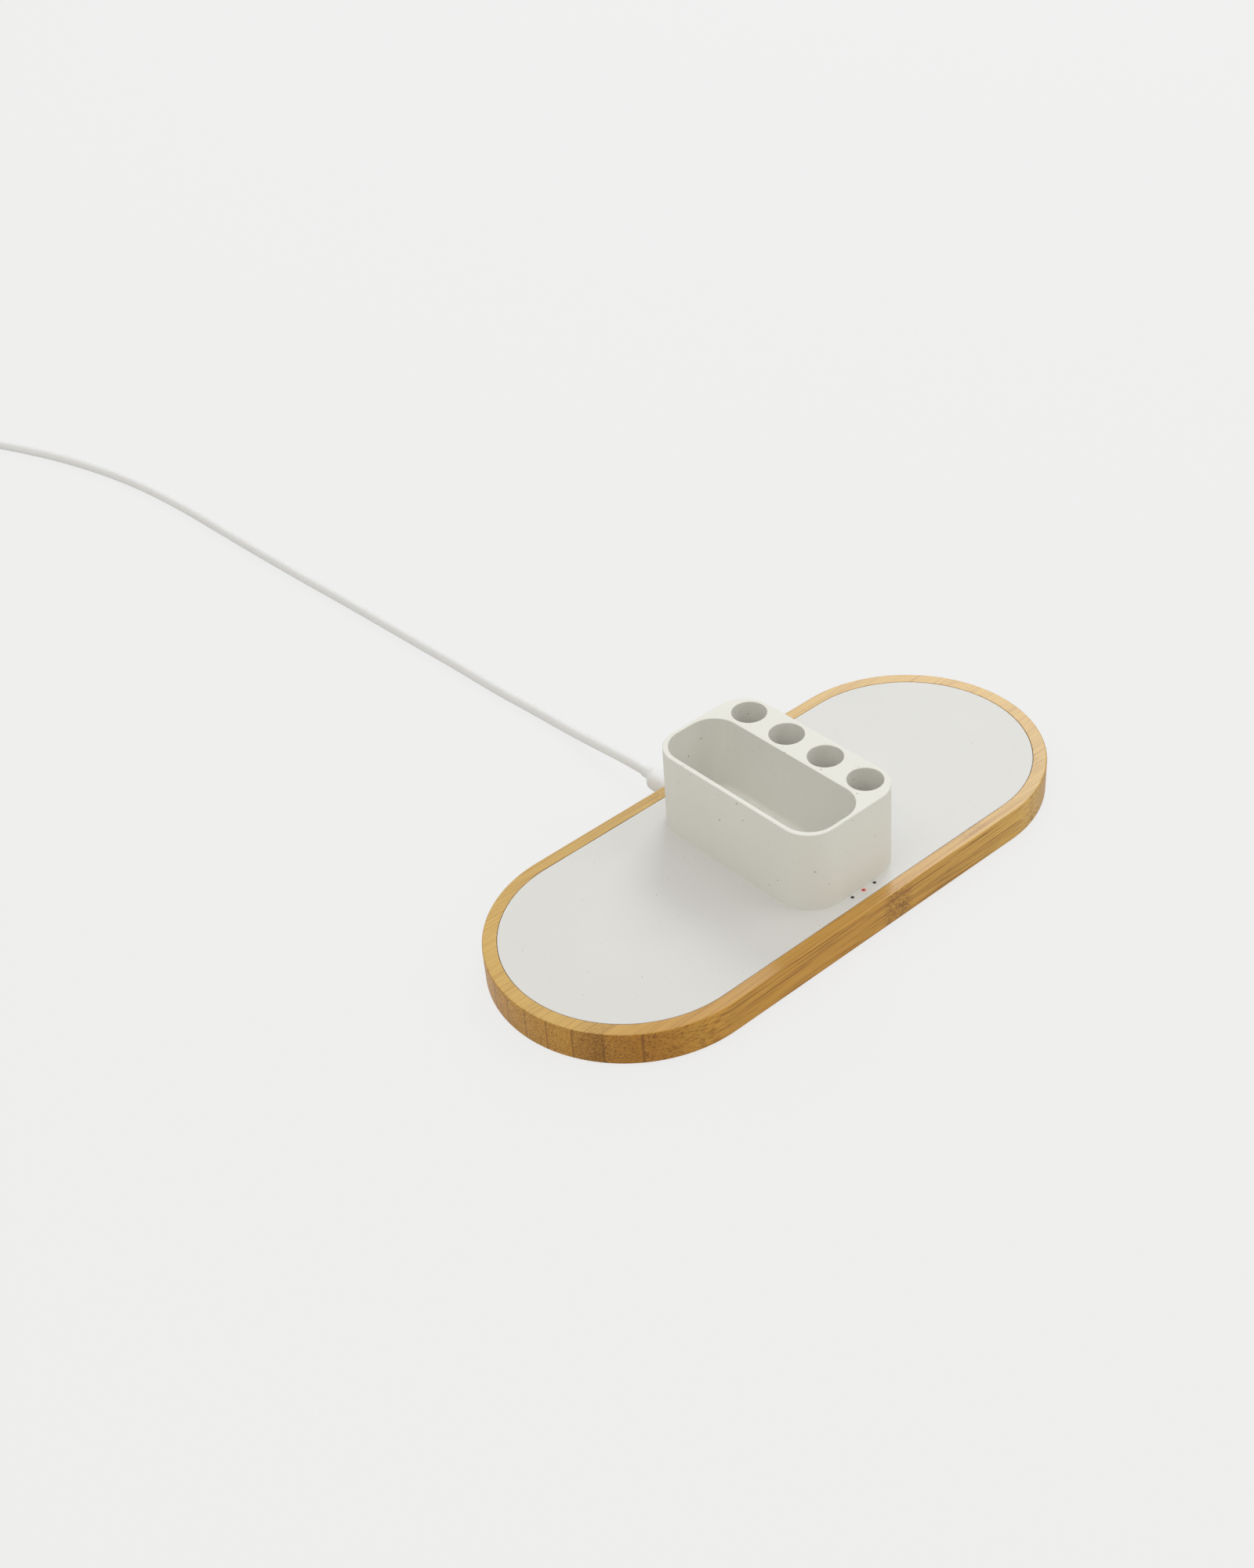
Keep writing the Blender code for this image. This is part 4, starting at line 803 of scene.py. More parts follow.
@dataclass(frozen=True)
class SoftBox:
    """A large square lamp that faces the tray."""

    name: str
    place: Triple
    watts: float
    tint: Triple
    size: float = 3.6

    def build(self) -> None:
        """Hangs the lamp."""
        data = bpy.data.lights.new(self.name, "AREA")
        data.shape = "SQUARE"
        data.size = self.size
        data.energy = self.watts
        data.color = self.tint
        lamp = add_object(self.name, data)
        lamp.location = self.place
        lamp.rotation_euler = Vector(self.place).to_track_quat("Z", "Y").to_euler()


@dataclass
class Studio:
    """The camera at the photograph's angle, a pale floor and soft light from above and from every side."""

    azimuth: float = math.radians(-38.4458)
    elevation: float = math.radians(37.4933)
    roll: float = math.radians(-4.8586)
    distance: float = 0.862003
    target: Triple = (-0.006147, 0.080991, 0.001)
    lens_mm: float = 48.21
    film_mm: float = 36.0
    nearest: float = 0.01
    floor_half: float = 6.0
    backdrop: str = "F0F0F0"
    floor_colour: str = "E8E8E6"
    backdrop_share: float = 0.90
    sky: float = 0.46
    sky_tint: Triple = (1.0, 0.985, 0.88)
    lamps: tuple[SoftBox, ...] = (
        SoftBox("key_right_back", (1.92, 1.24, 1.78), 22.5, (0.91, 0.96, 1.0), 1.2),
        SoftBox("overhead", (0.6, 0.4, 6.4), 42.0, (0.91, 0.96, 1.0)),
        SoftBox("fill_left_front", (-3.0, -3.6, 4.4), 33.0, (1.0, 0.95, 0.82)),
        SoftBox("fill_left", (-2.6, 0.6, 5.0), 47.0, (1.0, 0.97, 0.90)),
        SoftBox("fill_right_front", (3.6, -3.0, 4.4), 64.0, (1.0, 0.99, 0.94)))

    def camera(self) -> None:
        """Sets the camera where the photograph was taken from."""
        flat = math.cos(self.elevation)
        back = Vector((math.sin(self.azimuth) * flat, -math.cos(self.azimuth) * flat, math.sin(self.elevation)))
        level_right = Vector((0, 0, 1)).cross(back).normalized()
        level_up = back.cross(level_right)
        right = level_right * math.cos(self.roll) + level_up * math.sin(self.roll)
        up = level_up * math.cos(self.roll) - level_right * math.sin(self.roll)
        data = bpy.data.cameras.new("photo_camera")
        data.sensor_fit = "VERTICAL"
        data.sensor_height = self.film_mm
        data.lens = self.lens_mm
        data.clip_start = self.nearest
        made = add_object("photo_camera", data)
        turn = Matrix((right, up, back)).transposed().to_4x4()
        made.matrix_world = Matrix.Translation(Vector(self.target) + back * self.distance) @ turn
        bpy.context.scene.camera = made

    def floor(self) -> None:
        """Lays the floor, which keeps a soft shadow of the tray."""
        data = bpy.data.meshes.new("studio_floor")
        half = self.floor_half
        data.from_pydata([(-half, -half, 0), (half, -half, 0), (half, half, 0), (-half, half, 0)], [], [(0, 1, 2, 3)])
        paper = bpy.data.materials.new("matt_background_paper")
        paper.use_nodes = True
        tree = paper.node_tree
        shader = tree.nodes["Principled BSDF"]
        for name, value in (("Base Color", linear(self.floor_colour)), ("Roughness", 0.9),
                            ("Specular IOR Level", 0.1)):
            feed(tree, shader.inputs[name], value)
        light = add_node(tree, "ShaderNodeEmission", linear(self.backdrop))
        share = add_node(tree, MATH, self.shows_backdrop(tree), self.backdrop_share, operation="MULTIPLY")
        mixed = add_node(tree, "ShaderNodeMixShader", share, shader, light)
        feed(tree, tree.nodes["Material Output"].inputs["Surface"], mixed)
        data.materials.append(paper)
        add_object("studio_floor", data)

    def shows_backdrop(self, tree: Tree) -> Node:
        """One for rays from the camera and off or through gloss, metal and glass, which see the backdrop.

        Args:
            tree: The tree that takes the nodes.

        Returns:
            The node that gives the share.
        """
        path = add_node(tree, "ShaderNodeLightPath").outputs
        seen = add_node(tree, MATH, path["Is Camera Ray"], path["Is Glossy Ray"], operation="MAXIMUM")
        return add_node(tree, MATH, seen, path["Is Transmission Ray"], operation="MAXIMUM")

    def light(self) -> None:
        """Lights the tray with an even sky and large soft lamps."""
        world = bpy.data.worlds.new("studio_sky")
        bpy.context.scene.world = world
        world.use_nodes = True
        tree = world.node_tree
        ambient = tree.nodes["Background"]
        feed(tree, ambient.inputs["Color"], (*self.sky_tint, 1.0))
        feed(tree, ambient.inputs["Strength"], self.sky)
        shown = add_node(tree, "ShaderNodeBackground", linear(self.backdrop), 1.0)
        mixed = add_node(tree, "ShaderNodeMixShader", self.shows_backdrop(tree), ambient, shown)
        feed(tree, tree.nodes["World Output"].inputs["Surface"], mixed)
        for lamp in self.lamps:
            lamp.build()
        bpy.context.scene.view_settings.view_transform = "Standard"

    def build(self) -> None:
        """Builds the whole studio."""
        self.camera()
        self.floor()
        self.light()
        LOG.info("studio: camera, floor and light are set")


# Lead


@dataclass(frozen=True)
class GripShape:
    """Sizes of a plug's moulded grip and of the tapered neck behind it."""

    size_x: float
    thickness: float
    corner: float
    length: float
    end_round: float
    shoulder: float
    neck_length: float
    neck_root: float
    # The body is thicker by this much from here on, where it stands outside the tray.
    swell: float = 0.0
    swell_from: float = 0.0
    corner_steps: int = 10
    round_steps: int = 6
    blend_steps: int = 12

    def section(self, drawn_in: float) -> Outline:
        """The body's outline, drawn in."""
        return rounded_rectangle(self.size_x - 2 * drawn_in, self.thickness - 2 * drawn_in, self.corner - drawn_in,
                                 self.corner_steps)

    def neck(self, tip: float) -> list[Pair]:
        """(radius, height) along the hollow neck, to its rounded lip.

        Args:
            tip: Radius of the neck's end.

        Returns:
            The points, from the body on.
        """
        end = self.length + self.neck_length
        lip = tip * 0.08
        shares = [step / self.blend_steps for step in range(1, self.blend_steps)]
        found = [(tip + (self.neck_root - tip) * (1 - share) ** 3, self.length + self.neck_length * share * 0.9)
                 for share in shares]
        return found + [(tip, end - lip), (tip - lip * 0.3, end - lip * 0.3), (tip - lip, end)]

    def rings(self, tip: float) -> list[list[Vector]]:
        """The grip's skin, from its face to the end of the neck.

        Args:
            tip: Radius of the neck's end.

        Returns:
            The rings, drawn along Z.
        """
        found = [level(self.section(inset), to_go)
                 for inset, to_go in reversed(quarter_round(self.end_round, self.round_steps))]
        if self.swell:
            steps = self.round_steps
            found += [level(self.section(-self.swell * eased(step / steps)),
                            self.swell_from + 4 * self.swell * step / steps) for step in range(steps + 1)]
        full, root = self.section(-self.swell), matching_circle(self.neck_root, self.corner_steps)
        for step in range(self.blend_steps + 1):
            angle = QUARTER * step / self.blend_steps
            height = self.length - self.shoulder * (1 - math.sin(angle))
            found.append([a.lerp(b, 1 - math.cos(angle)) for a, b in zip(level(full, height), level(root, height))])
        return found + [level(matching_circle(radius, self.corner_steps), height)
                        for radius, height in self.neck(tip)]


@dataclass
class Lead:
    """The USB-C lead: the plug in the tray, the cord along the desk, and the far end put away in a coil."""

    radius: float = 0.00225
    exit_y: float = 0.0763
    axis_z: float = 0.0074
    face_y: float = 0.04684
    step: float = 0.003
    neck_wall: float = 0.0004
    sunk: float = 0.0006
    plug: GripShape = GripShape(0.0102, 0.0068, 0.0031, 0.02316, 0.0007, 0.0024, 0.0060, 0.0042, 0.0006, 0.0088)
    far: GripShape = GripShape(0.0155, 0.0080, 0.0022, 0.0250, 0.0008, 0.0030, 0.0080, 0.0034)
    plug_root: Pair = (0.00885, 0.0030)
    # These triples are the two sizes of a rounded rectangle and its corner's radius.
    far_root: Triple = (0.0126, 0.0051, 0.0009)
    root_depth: float = 0.0023
    shell: Triple = (0.0120, 0.0045, 0.0006)
    shell_wall: float = 0.0003
    shell_reach: float = 0.0120
    shell_root: Pair = (0.0012, 0.0020)
    window: Triple = (0.0022, 0.0022, 0.0002)
    window_place: Pair = (0.0029, -0.0068)
    window_reach: float = 0.003
    store_radius: float = 0.0275
    store_gap: float = 0.0005
    store_turns: float = 3.36
    store_points: int = 72
    store_climb: float = 0.5
    tail: float = 0.0450
    fit_gap: float = 0.0003
    tie_half: float = 0.0022
    tie_thickness: float = 0.0007
    tie_corner: float = 0.0020
    tie_room: float = 0.0004
    tie_lift: float = 0.0001
    tie_turn: float = math.radians(35)
    centre: Vector = field(default_factory=Vector, init=False)
    # Place across X, distance from the neck along Y, and share of the drop to the desk still above it.
    route: tuple[Triple, ...] = (
        (0.0000, 0.0000, 1.00), (0.0000, 0.0045, 0.98), (0.0001, 0.0135, 0.84), (0.0002, 0.0255, 0.60),
        (0.0003, 0.0390, 0.32), (0.0003, 0.0530, 0.13), (0.0001, 0.0660, 0.03), (-0.0006, 0.0800, 0.00),
        (-0.0015, 0.0950, 0.00), (-0.0024, 0.1260, 0.00), (-0.0035, 0.1510, 0.00), (-0.0046, 0.1780, 0.00),
        (-0.0059, 0.2070, 0.00), (-0.0075, 0.2370, 0.00), (-0.0089, 0.2690, 0.00), (-0.0099, 0.2980, 0.00),
        (-0.0106, 0.3230, 0.00), (-0.0118, 0.3490, 0.00), (-0.0148, 0.3790, 0.00), (-0.0205, 0.4090, 0.00),
        (-0.0290, 0.4390, 0.00), (-0.0405, 0.4690, 0.00), (-0.0530, 0.4960, 0.00), (-0.0585, 0.5070, 0.00))

    def route_points(self) -> list[Vector]:
        """The route's points."""
        rise = self.axis_z - self.radius
        return [Vector((x, self.exit_y + along, self.radius + rise * share)) for x, along, share in self.route]

    def run(self) -> list[Vector]:
        """The free cord, on a smooth curve through the route.

        Returns:
            Its points, at most a step apart.
        """
        route = self.route_points()
        padded = [2 * route[0] - route[1], *route, 2 * route[-1] - route[-2]]
        path = [route[0]]
        for before, start, end, after in zip(padded, padded[1:], padded[2:], padded[3:]):
            leave, arrive = (end - before) / 2, (after - start) / 2
            count = math.ceil((end - start).length / self.step)
            for number in range(1, count + 1):
                share = number / count
                pull = share * (1 - share)
                path.append(start.lerp(end, eased(share)) + leave * pull * (1 - share) - arrive * pull * share)
        return path

    def coil(self, run: Sequence[Vector]) -> list[Vector]:
        """The stored coil: loops wound inwards on the desk, a climb, loops wound outwards on top, and a tail.

        Args:
            run: The free cord that leads to it.

        Returns:
            The points of the coil and its tail.
        """
        before, end = self.route_points()[-2:]
        heading = (end - before).normalized()
        diameter = 2 * self.radius
        pitch = diameter + self.store_gap
        left = Vector((-heading.y, heading.x, 0))
        self.centre = run[-1] + heading * self.fit_gap + heading * diameter + left * self.store_radius
        first = math.atan2(-left.y, -left.x)
        half = self.store_turns / 2
        path: list[Vector] = []
        for step in range(3 * round(self.store_turns * self.store_points / 3) + 1):
            turns = step / self.store_points
            radius = self.store_radius - pitch * (half - abs(turns - half))
            angle = first + 2 * math.pi * turns
            climb = eased((turns - half) / self.store_climb + 1 / 2)
            path.append(self.centre + Vector((radius * math.cos(angle), radius * math.sin(angle), pitch * climb)))
        away = Vector((-math.sin(angle), math.cos(angle), 0))
        leaving = path[-1]
        drop = leaving.z - self.far.thickness / 2
        steps = round(self.tail / self.step)
        for step in range(1, steps + 1):
            share = step / steps
            path.append(leaving + away * self.tail * share - Vector((0, 0, drop * eased(share))))
        return [*path, path[-1] + away * (diameter + self.fit_gap)]

    def cord(self, path: Sequence[Vector], material: Material) -> Piece:
        """The whole cord as one round curve.

        Args:
            path: Its centreline.
            material: Its finish.

        Returns:
            The piece.
        """
        data = bpy.data.curves.new("charging_cord", "CURVE")
        data.dimensions = "3D"
        data.twist_mode = "Z_UP"
        data.bevel_depth = self.radius
        data.bevel_resolution = 6
        data.use_fill_caps = True
        spline = data.splines.new("POLY")
        spline.points.add(len(path) - 1)
        for spot, point in zip(spline.points, path):
            spot.co = (*point, 1)
        data.materials.append(material)
        return add_object("charging_cord", data)

    def far_place(self, path: Sequence[Vector]) -> Matrix:
        """Lays a plug that is drawn along Z on the desk at the cord's far end.

        Args:
            path: The cord's centreline.

        Returns:
            The plug's place and turn.
        """
        ahead = (path[-1] - path[-2]).normalized()
        upward = Vector((0, 0, 1))
        face = path[-1] + ahead * (self.fit_gap + self.far.neck_length + self.far.length)
        turn = Matrix((upward.cross(-ahead), upward, -ahead)).transposed().to_4x4()
        return Matrix.Translation(face) @ turn

    def grip(self, name: str, shape: GripShape, place: Matrix, root: Outline, material: Material) -> Piece:
        """A moulded grip with a recess for the root of its metal shell.

        Args:
            name: Name of the piece.
            shape: Its sizes.
            place: Where it lies.
            root: Outline of the recess.
            material: Its finish.

        Returns:
            The piece.
        """
        made = Skin().loft(shape.rings(self.radius + self.neck_wall)).piece(name)
        recess = Skin().loft([level(root, -OVERRUN), level(root, self.root_depth)]).piece(name + "_recess")
        carve(made, recess, Cut.AWAY)
        made.data.transform(place)
        return dress(made, material)

    def far_shell(self, place: Matrix, steel: Material) -> Piece:
        """The USB-A plug's folded shell, open at its mouth, with its two pairs of windows.

        Args:
            place: Where the plug lies.
            steel: Its finish.

        Returns:
            The piece.
        """
        size_x, size_y, corner = self.shell
        outer, inner = (rounded_rectangle(size_x - 2 * wall, size_y - 2 * wall, corner - wall, 5)
                        for wall in (0, self.shell_wall))
        inner_root, outer_root = self.shell_root
        rings = [level(inner, inner_root), level(inner, -self.shell_reach), level(outer, -self.shell_reach),
                 level(outer, outer_root)]
        made = Skin().loft(rings).piece("usb_a_plug_shell")
        windows = Skin()
        aside, height = self.window_place
        for side in (-1, 1):
            outline = [(x + side * aside, y + height) for x, y in rounded_rectangle(*self.window, 3)]
            windows.loft([[Vector((x, through, y)) for x, y in outline]
                          for through in (-self.window_reach, self.window_reach)])
        carve(made, windows.piece("window_cutters"), Cut.AWAY)
        made.data.transform(place)
        return dress(made, steel)

    def tie(self, material: Material) -> Piece:
        """A thin strap round the coil's turns, across from where the lead comes in.

        Args:
            material: Its finish.

        Returns:
            The piece.
        """
        pitch = 2 * self.radius + self.store_gap
        inner = self.store_radius - pitch * self.store_turns / 2 - self.radius - self.fit_gap
        outer = self.store_radius + self.radius + self.fit_gap
        top = 4 * self.radius + self.store_gap + self.tie_room
        half, thick = self.tie_half, self.tie_thickness
        middle = ((inner + outer) / 2, 0.0)
        rings = []
        for across, swell in ((-half, thick * 0.6), (-half * 0.8, thick), (half * 0.8, thick), (half, thick * 0.6)):
            outline = rounded_rectangle(outer - inner + 2 * swell, top + swell, self.tie_corner, 6, middle)
            rings.append([Vector((x, across, y + (top - swell) / 2 + swell)) for x, y in outline])
        inside = rounded_rectangle(outer - inner, top, self.tie_corner - thick, 6, middle)
        back = [[Vector((x, across, y + top / 2 + self.tie_lift)) for x, y in inside] for across in (half, -half)]
        place = Matrix.Translation((self.centre.x, self.centre.y, 0)) @ Matrix.Rotation(self.tie_turn, 4, "Z")
        return dress(Skin().loft(rings + back, looped=True).piece("coil_tie", place), material)

    def build(self, white: Material, strap: Material, steel: Material) -> None:
        """Builds the lead.

        Args:
            white: Finish of the cord and grips.
            strap: Finish of the tie.
            steel: Finish of the plugs' shells.
        """
        run = self.run()
        path = [run[0] - Vector((0, self.sunk, 0)), *run, *self.coil(run)]
        cord = join_frame(self.cord(path, white), Body.CABLE, ["cord_run", "cord_coil"])
        along = Matrix.Translation((0, self.face_y, self.axis_z)) @ Matrix.Rotation(-QUARTER, 4, "X")
        grip = self.grip("usb_c_plug_grip", self.plug, along, stadium(*self.plug_root, 10), white)
        join_frame(grip, Body.CABLE, ["usb_c_grip"])
        place = self.far_place(path)
        far = self.grip("usb_a_plug_grip", self.far, place, rounded_rectangle(*self.far_root, 5), white)
        join_frame(far, Body.CABLE, ["usb_a_grip"])
        tie = join_frame(self.tie(strap), Body.CABLE)
        shell = join_frame(self.far_shell(place, steel), Body.CABLE, ["usb_a_shell"])


# Tray


@dataclass
class Tray:
    """The bamboo ring, the white plate, the light pins, the feet and the screws that close the base."""

    pattern: TurnedPattern
    length: float = 0.2586
    width: float = 0.110
    bottom: float = 0.0010
    top: float = 0.0151
    rim: float = 0.00545
    recess: float = 0.00586
    ledge: float = 0.0025
    ledge_bottom: float = 0.0037
    ledge_top: float = 0.0128
    top_round: float = 0.0006
    foot_round: float = 0.0006
    inner_round: float = 0.00012
    end_steps: int = 96
    plug_axis_z: float = 0.0074
    opening: Triple = (0.0112, 0.0078, 0.0036)
    opening_round: float = 0.0006
    joint: float = 0.0002
    plate_bottom: float = 0.0131
    plate_round: float = 0.00018
    # Bosses and nests reach this far into the plate, and its lower edge is broken by as much.
    sink: float = 0.0003
    nest_x: float = 0.0743
    nest_size: float = 0.0506
    nest_corner: float = 0.0023
    nest_wall: float = 0.0012
    nest_bottom: float = 0.0100
    gate: Triple = (0.0044, 0.0180, 0.0002)
    gate_x: float = 0.0493
    # Unlike numbers of sides keep a pilot's corners off the radial edges of its boss, which would tear the cut.
    boss_sides: int = 48
    hole_sides: int = 47
    pin_radius: float = 0.00068
    pin_round: float = 0.00015
    pin_hole: float = 0.00072
    foot_radius: float = 0.0060
    foot_top: float = 0.0021
    # (half length, half width, height above the head's face) of a cross recess, from outside the head inwards.
    cross: tuple[Triple, ...] = ((0.0014, 0.00034, -0.0005), (0.0012, 0.0003, 0.0002), (0.0006, 0.00025, 0.0010))
    board_boss_places: tuple[Pair, ...] = ((-0.0205, -0.03774), (-0.0205, 0.03774), (0.0205, -0.03774),
                                           (0.0205, 0.03774))
    foot_places: tuple[Pair, ...] = ((-0.0893, -0.03164), (-0.0893, 0.03164), (0.0893, -0.03164), (0.0893, 0.03164))
    screw_places: tuple[Pair, ...] = ((-0.034, -0.04164), (-0.034, 0.04164), (0.034, -0.04164), (0.034, 0.04164),
                                      (-0.11594, 0.0), (0.11594, 0.0))

    def outline(self, inset: float) -> Outline:
        """The tray's outline, drawn in by an inset."""
        return stadium(self.length - 2 * inset, self.width - 2 * inset, self.end_steps)

    def ring(self, bamboo: Material) -> Piece:
        """The routed ring with its ledge and its opening for the plug.

        Args:
            bamboo: Its finish.

        Returns:
            The piece.
        """
        deep = self.recess + self.ledge
        profile = [(inset, self.bottom + to_go) for inset, to_go in reversed(quarter_round(self.foot_round, 5))]
        profile += [(inset, self.top - to_go) for inset, to_go in quarter_round(self.top_round, 8)]
        profile += [(self.rim - inset, self.top - to_go)
                    for inset, to_go in reversed(quarter_round(self.inner_round, 3))]
        profile += [(self.rim, self.ledge_top), (deep, self.ledge_top), (deep, self.ledge_bottom),
                    (self.recess, self.ledge_bottom), (self.recess, self.bottom)]
        ring = Skin().loft([level(self.outline(inset), height) for inset, height in profile], looped=True)
        made = ring.piece("bamboo_ring")

        size_x, size_z, corner = self.opening
        back = self.width / 2
        steps = [(0.0, back - deep - OVERRUN)]
        steps += [(out, back - to_go) for out, to_go in quarter_round(self.opening_round, 5)]
        steps.append((self.opening_round, back + OVERRUN))
        rings = [level(rounded_rectangle(size_x + 2 * out, size_z + 2 * out, corner + out, 10), place)
                 for out, place in steps]
        lay = Matrix.Translation((0, 0, self.plug_axis_z)) @ Matrix.Rotation(-QUARTER, 4, "X")
        carve(made, Skin().loft(rings).piece("plug_opening_cutter", lay), Cut.AWAY)
        return dress(made, bamboo)

    def nests(self) -> Piece:
        """The two square walls that hold the coils, each open where its wires leave.

        Returns:
            The piece.
        """
        walls, gates = Skin(), Skin()
        low, high = self.nest_bottom, self.plate_bottom + self.sink
        for side in (-1, 1):
            inner, outer = (rounded_rectangle(self.nest_size + 2 * wall, self.nest_size + 2 * wall,
                                              self.nest_corner + wall, 6, (side * self.nest_x, 0.0))
                            for wall in (0, self.nest_wall))
            walls.loft([level(outer, low), level(outer, high), level(inner, high), level(inner, low)], looped=True)
            opening = rounded_rectangle(*self.gate, 2, (side * self.gate_x, 0.0))
            gates.loft([level(opening, low - OVERRUN), level(opening, self.plate_bottom + OVERRUN)])
        made = walls.piece("coil_nests")
        carve(made, gates.piece("gate_cutters"), Cut.AWAY)
        return made

    def pin_places(self, nodes: Sequence[str]) -> list[Pair]:
        """The middles of light pins, seen from above."""
        middles = [(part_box(node)[0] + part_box(node)[1]) / 2 for node in nodes]
        return [(middle.x, middle.y) for middle in middles]

    def plate(self, composite: Material, boss_places: Sequence[Pair]) -> Piece:
        """The moulded plate: its nests and bosses below, and holes for the holder's bosses and the light pins.

        Args:
            composite: Its finish.
            boss_places: Places of the holder's bosses.

        Returns:
            The piece.
        """
        edge, root, above = self.rim + self.joint, self.plate_bottom + self.sink, self.top + OVERRUN
        rings = [level(self.outline(edge + self.sink), self.plate_bottom), level(self.outline(edge), root)]
        rings += [level(self.outline(edge + inset), self.top - to_go)
                  for inset, to_go in quarter_round(self.plate_round, 5)]
        made = Skin().loft(rings).piece("white_plate")
        carve(made, self.nests(), Cut.JOIN)
        pins = self.pin_places([UNLIT_PINS[0], LIT_PIN, UNLIT_PINS[1]])
        # Name, radius, lowest and highest point, places, and what the rods do.
        rods = (("base_bosses", 0.0030, 0.0049, root, self.screw_places, Cut.JOIN),
                ("board_bosses", 0.0024, 0.01095, root, self.board_boss_places, Cut.JOIN),
                ("base_pilots", 0.0014, 0.0034, 0.0111, self.screw_places, Cut.AWAY),
                ("board_pilots", 0.0010, 0.00945, 0.01405, self.board_boss_places, Cut.AWAY),
                ("holder_holes", 0.0029, 0.0090, above, boss_places, Cut.AWAY),
                ("pin_holes", self.pin_hole, 0.0090, above, pins, Cut.AWAY))
        for name, radius, low, high, places, cut in rods:
            sides = self.boss_sides if cut is Cut.JOIN else self.hole_sides
            carve(made, self.pattern.make(name, rod(radius, low, high), places, composite, sides), cut)
        return dress(made, composite)

    def pins(self, name: str, nodes: Sequence[str], clear: Material) -> Piece:
        """Clear pins that carry the lamps' light to the plate's face.

        Args:
            name: Name of the piece.
            nodes: The CAD nodes of the pins.
            clear: Their finish.

        Returns:
            The piece.
        """
        low, high = (corner.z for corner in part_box(nodes[0]))
        profile = [(0, low), (self.pin_radius, low)]
        profile += [(self.pin_radius - inset, high - to_go) for inset, to_go in quarter_round(self.pin_round, 4)]
        return dress(self.pattern.make(name, [*profile, (0, high)], self.pin_places(nodes), clear, 32), clear)

    def feet(self, rubber: Material) -> Piece:
        """The four soft pads, each with a rounded edge and a shallow dish underneath.

        Args:
            rubber: Their finish.

        Returns:
            The piece.
        """
        profile = [(0, 0.00025), (0.0040, 0.00025), (0.0046, 0.0)]
        profile += [(self.foot_radius - inset, to_go) for inset, to_go in reversed(quarter_round(0.0003, 4))]
        profile += [(self.foot_radius, self.foot_top), (0, self.foot_top)]
        return dress(self.pattern.make("rubber_feet", profile, self.foot_places, rubber, 64), rubber)

    def screws(self, steel: Material) -> Piece:
        """The six pan-head screws with cross recesses, their heads at the bottom.

        Args:
            steel: Their finish.

        Returns:
            The piece.
        """
        face, seat, tip, head, shank = 0.0012, 0.0025, 0.0106, 0.0024, 0.0012
        profile = [(0, face), (0.0015, face + 0.00004), (0.0020, face + 0.0002), (0.0023, face + 0.0005),
                   (head, face + 0.0008), (head, seat), (shank, seat), (shank, tip - shank), (0, tip)]
        rings = []
        for half, wide, height in self.cross:
            arm = level([(half, -wide), (half, wide), (wide, wide)], face + height)
            rings.append([Matrix.Rotation(turn * QUARTER, 3, "Z") @ point for turn in range(4) for point in arm])
        recess = Skin().loft(rings).piece("cross_recess")
        return dress(self.pattern.make("base_screws", profile, self.screw_places, steel, 40, recess), steel)

    def build(self, finishes: Mapping[Slot, Material], boss_places: Sequence[Pair]) -> None:
        """Builds the plate, the pins, the ring, the feet and the screws.

        Args:
            finishes: Finish of each slot.
            boss_places: Places of the holder's bosses in the plate.
        """
        feet, screws = ([f"{name}_{number}" for number in range(1, count + 1)]
                        for name, count in (("rubber_foot", len(self.foot_places)),
                                            ("base_screw", len(self.screw_places))))
        pieces = (
            (self.plate(finishes[Slot.COMPOSITE], boss_places), Slot.COMPOSITE, ["top_plate"]),
            (self.pins("unlit_light_pins", UNLIT_PINS, finishes[Slot.CLEAR_DARK]), Slot.CLEAR_DARK, UNLIT_PINS),
            (self.pins("lit_light_pin", [LIT_PIN], finishes[Slot.CLEAR_RED]), Slot.CLEAR_RED, [LIT_PIN]),
            (self.ring(finishes[Slot.BAMBOO]), Slot.BAMBOO, ["bamboo_frame"]),
            (self.feet(finishes[Slot.RUBBER]), Slot.RUBBER, feet),
            (self.screws(finishes[Slot.SCREW]), Slot.SCREW, screws))
        for piece, slot, nodes in pieces:
            join_frame(piece, Body.CHARGER, nodes)


# Pen holder


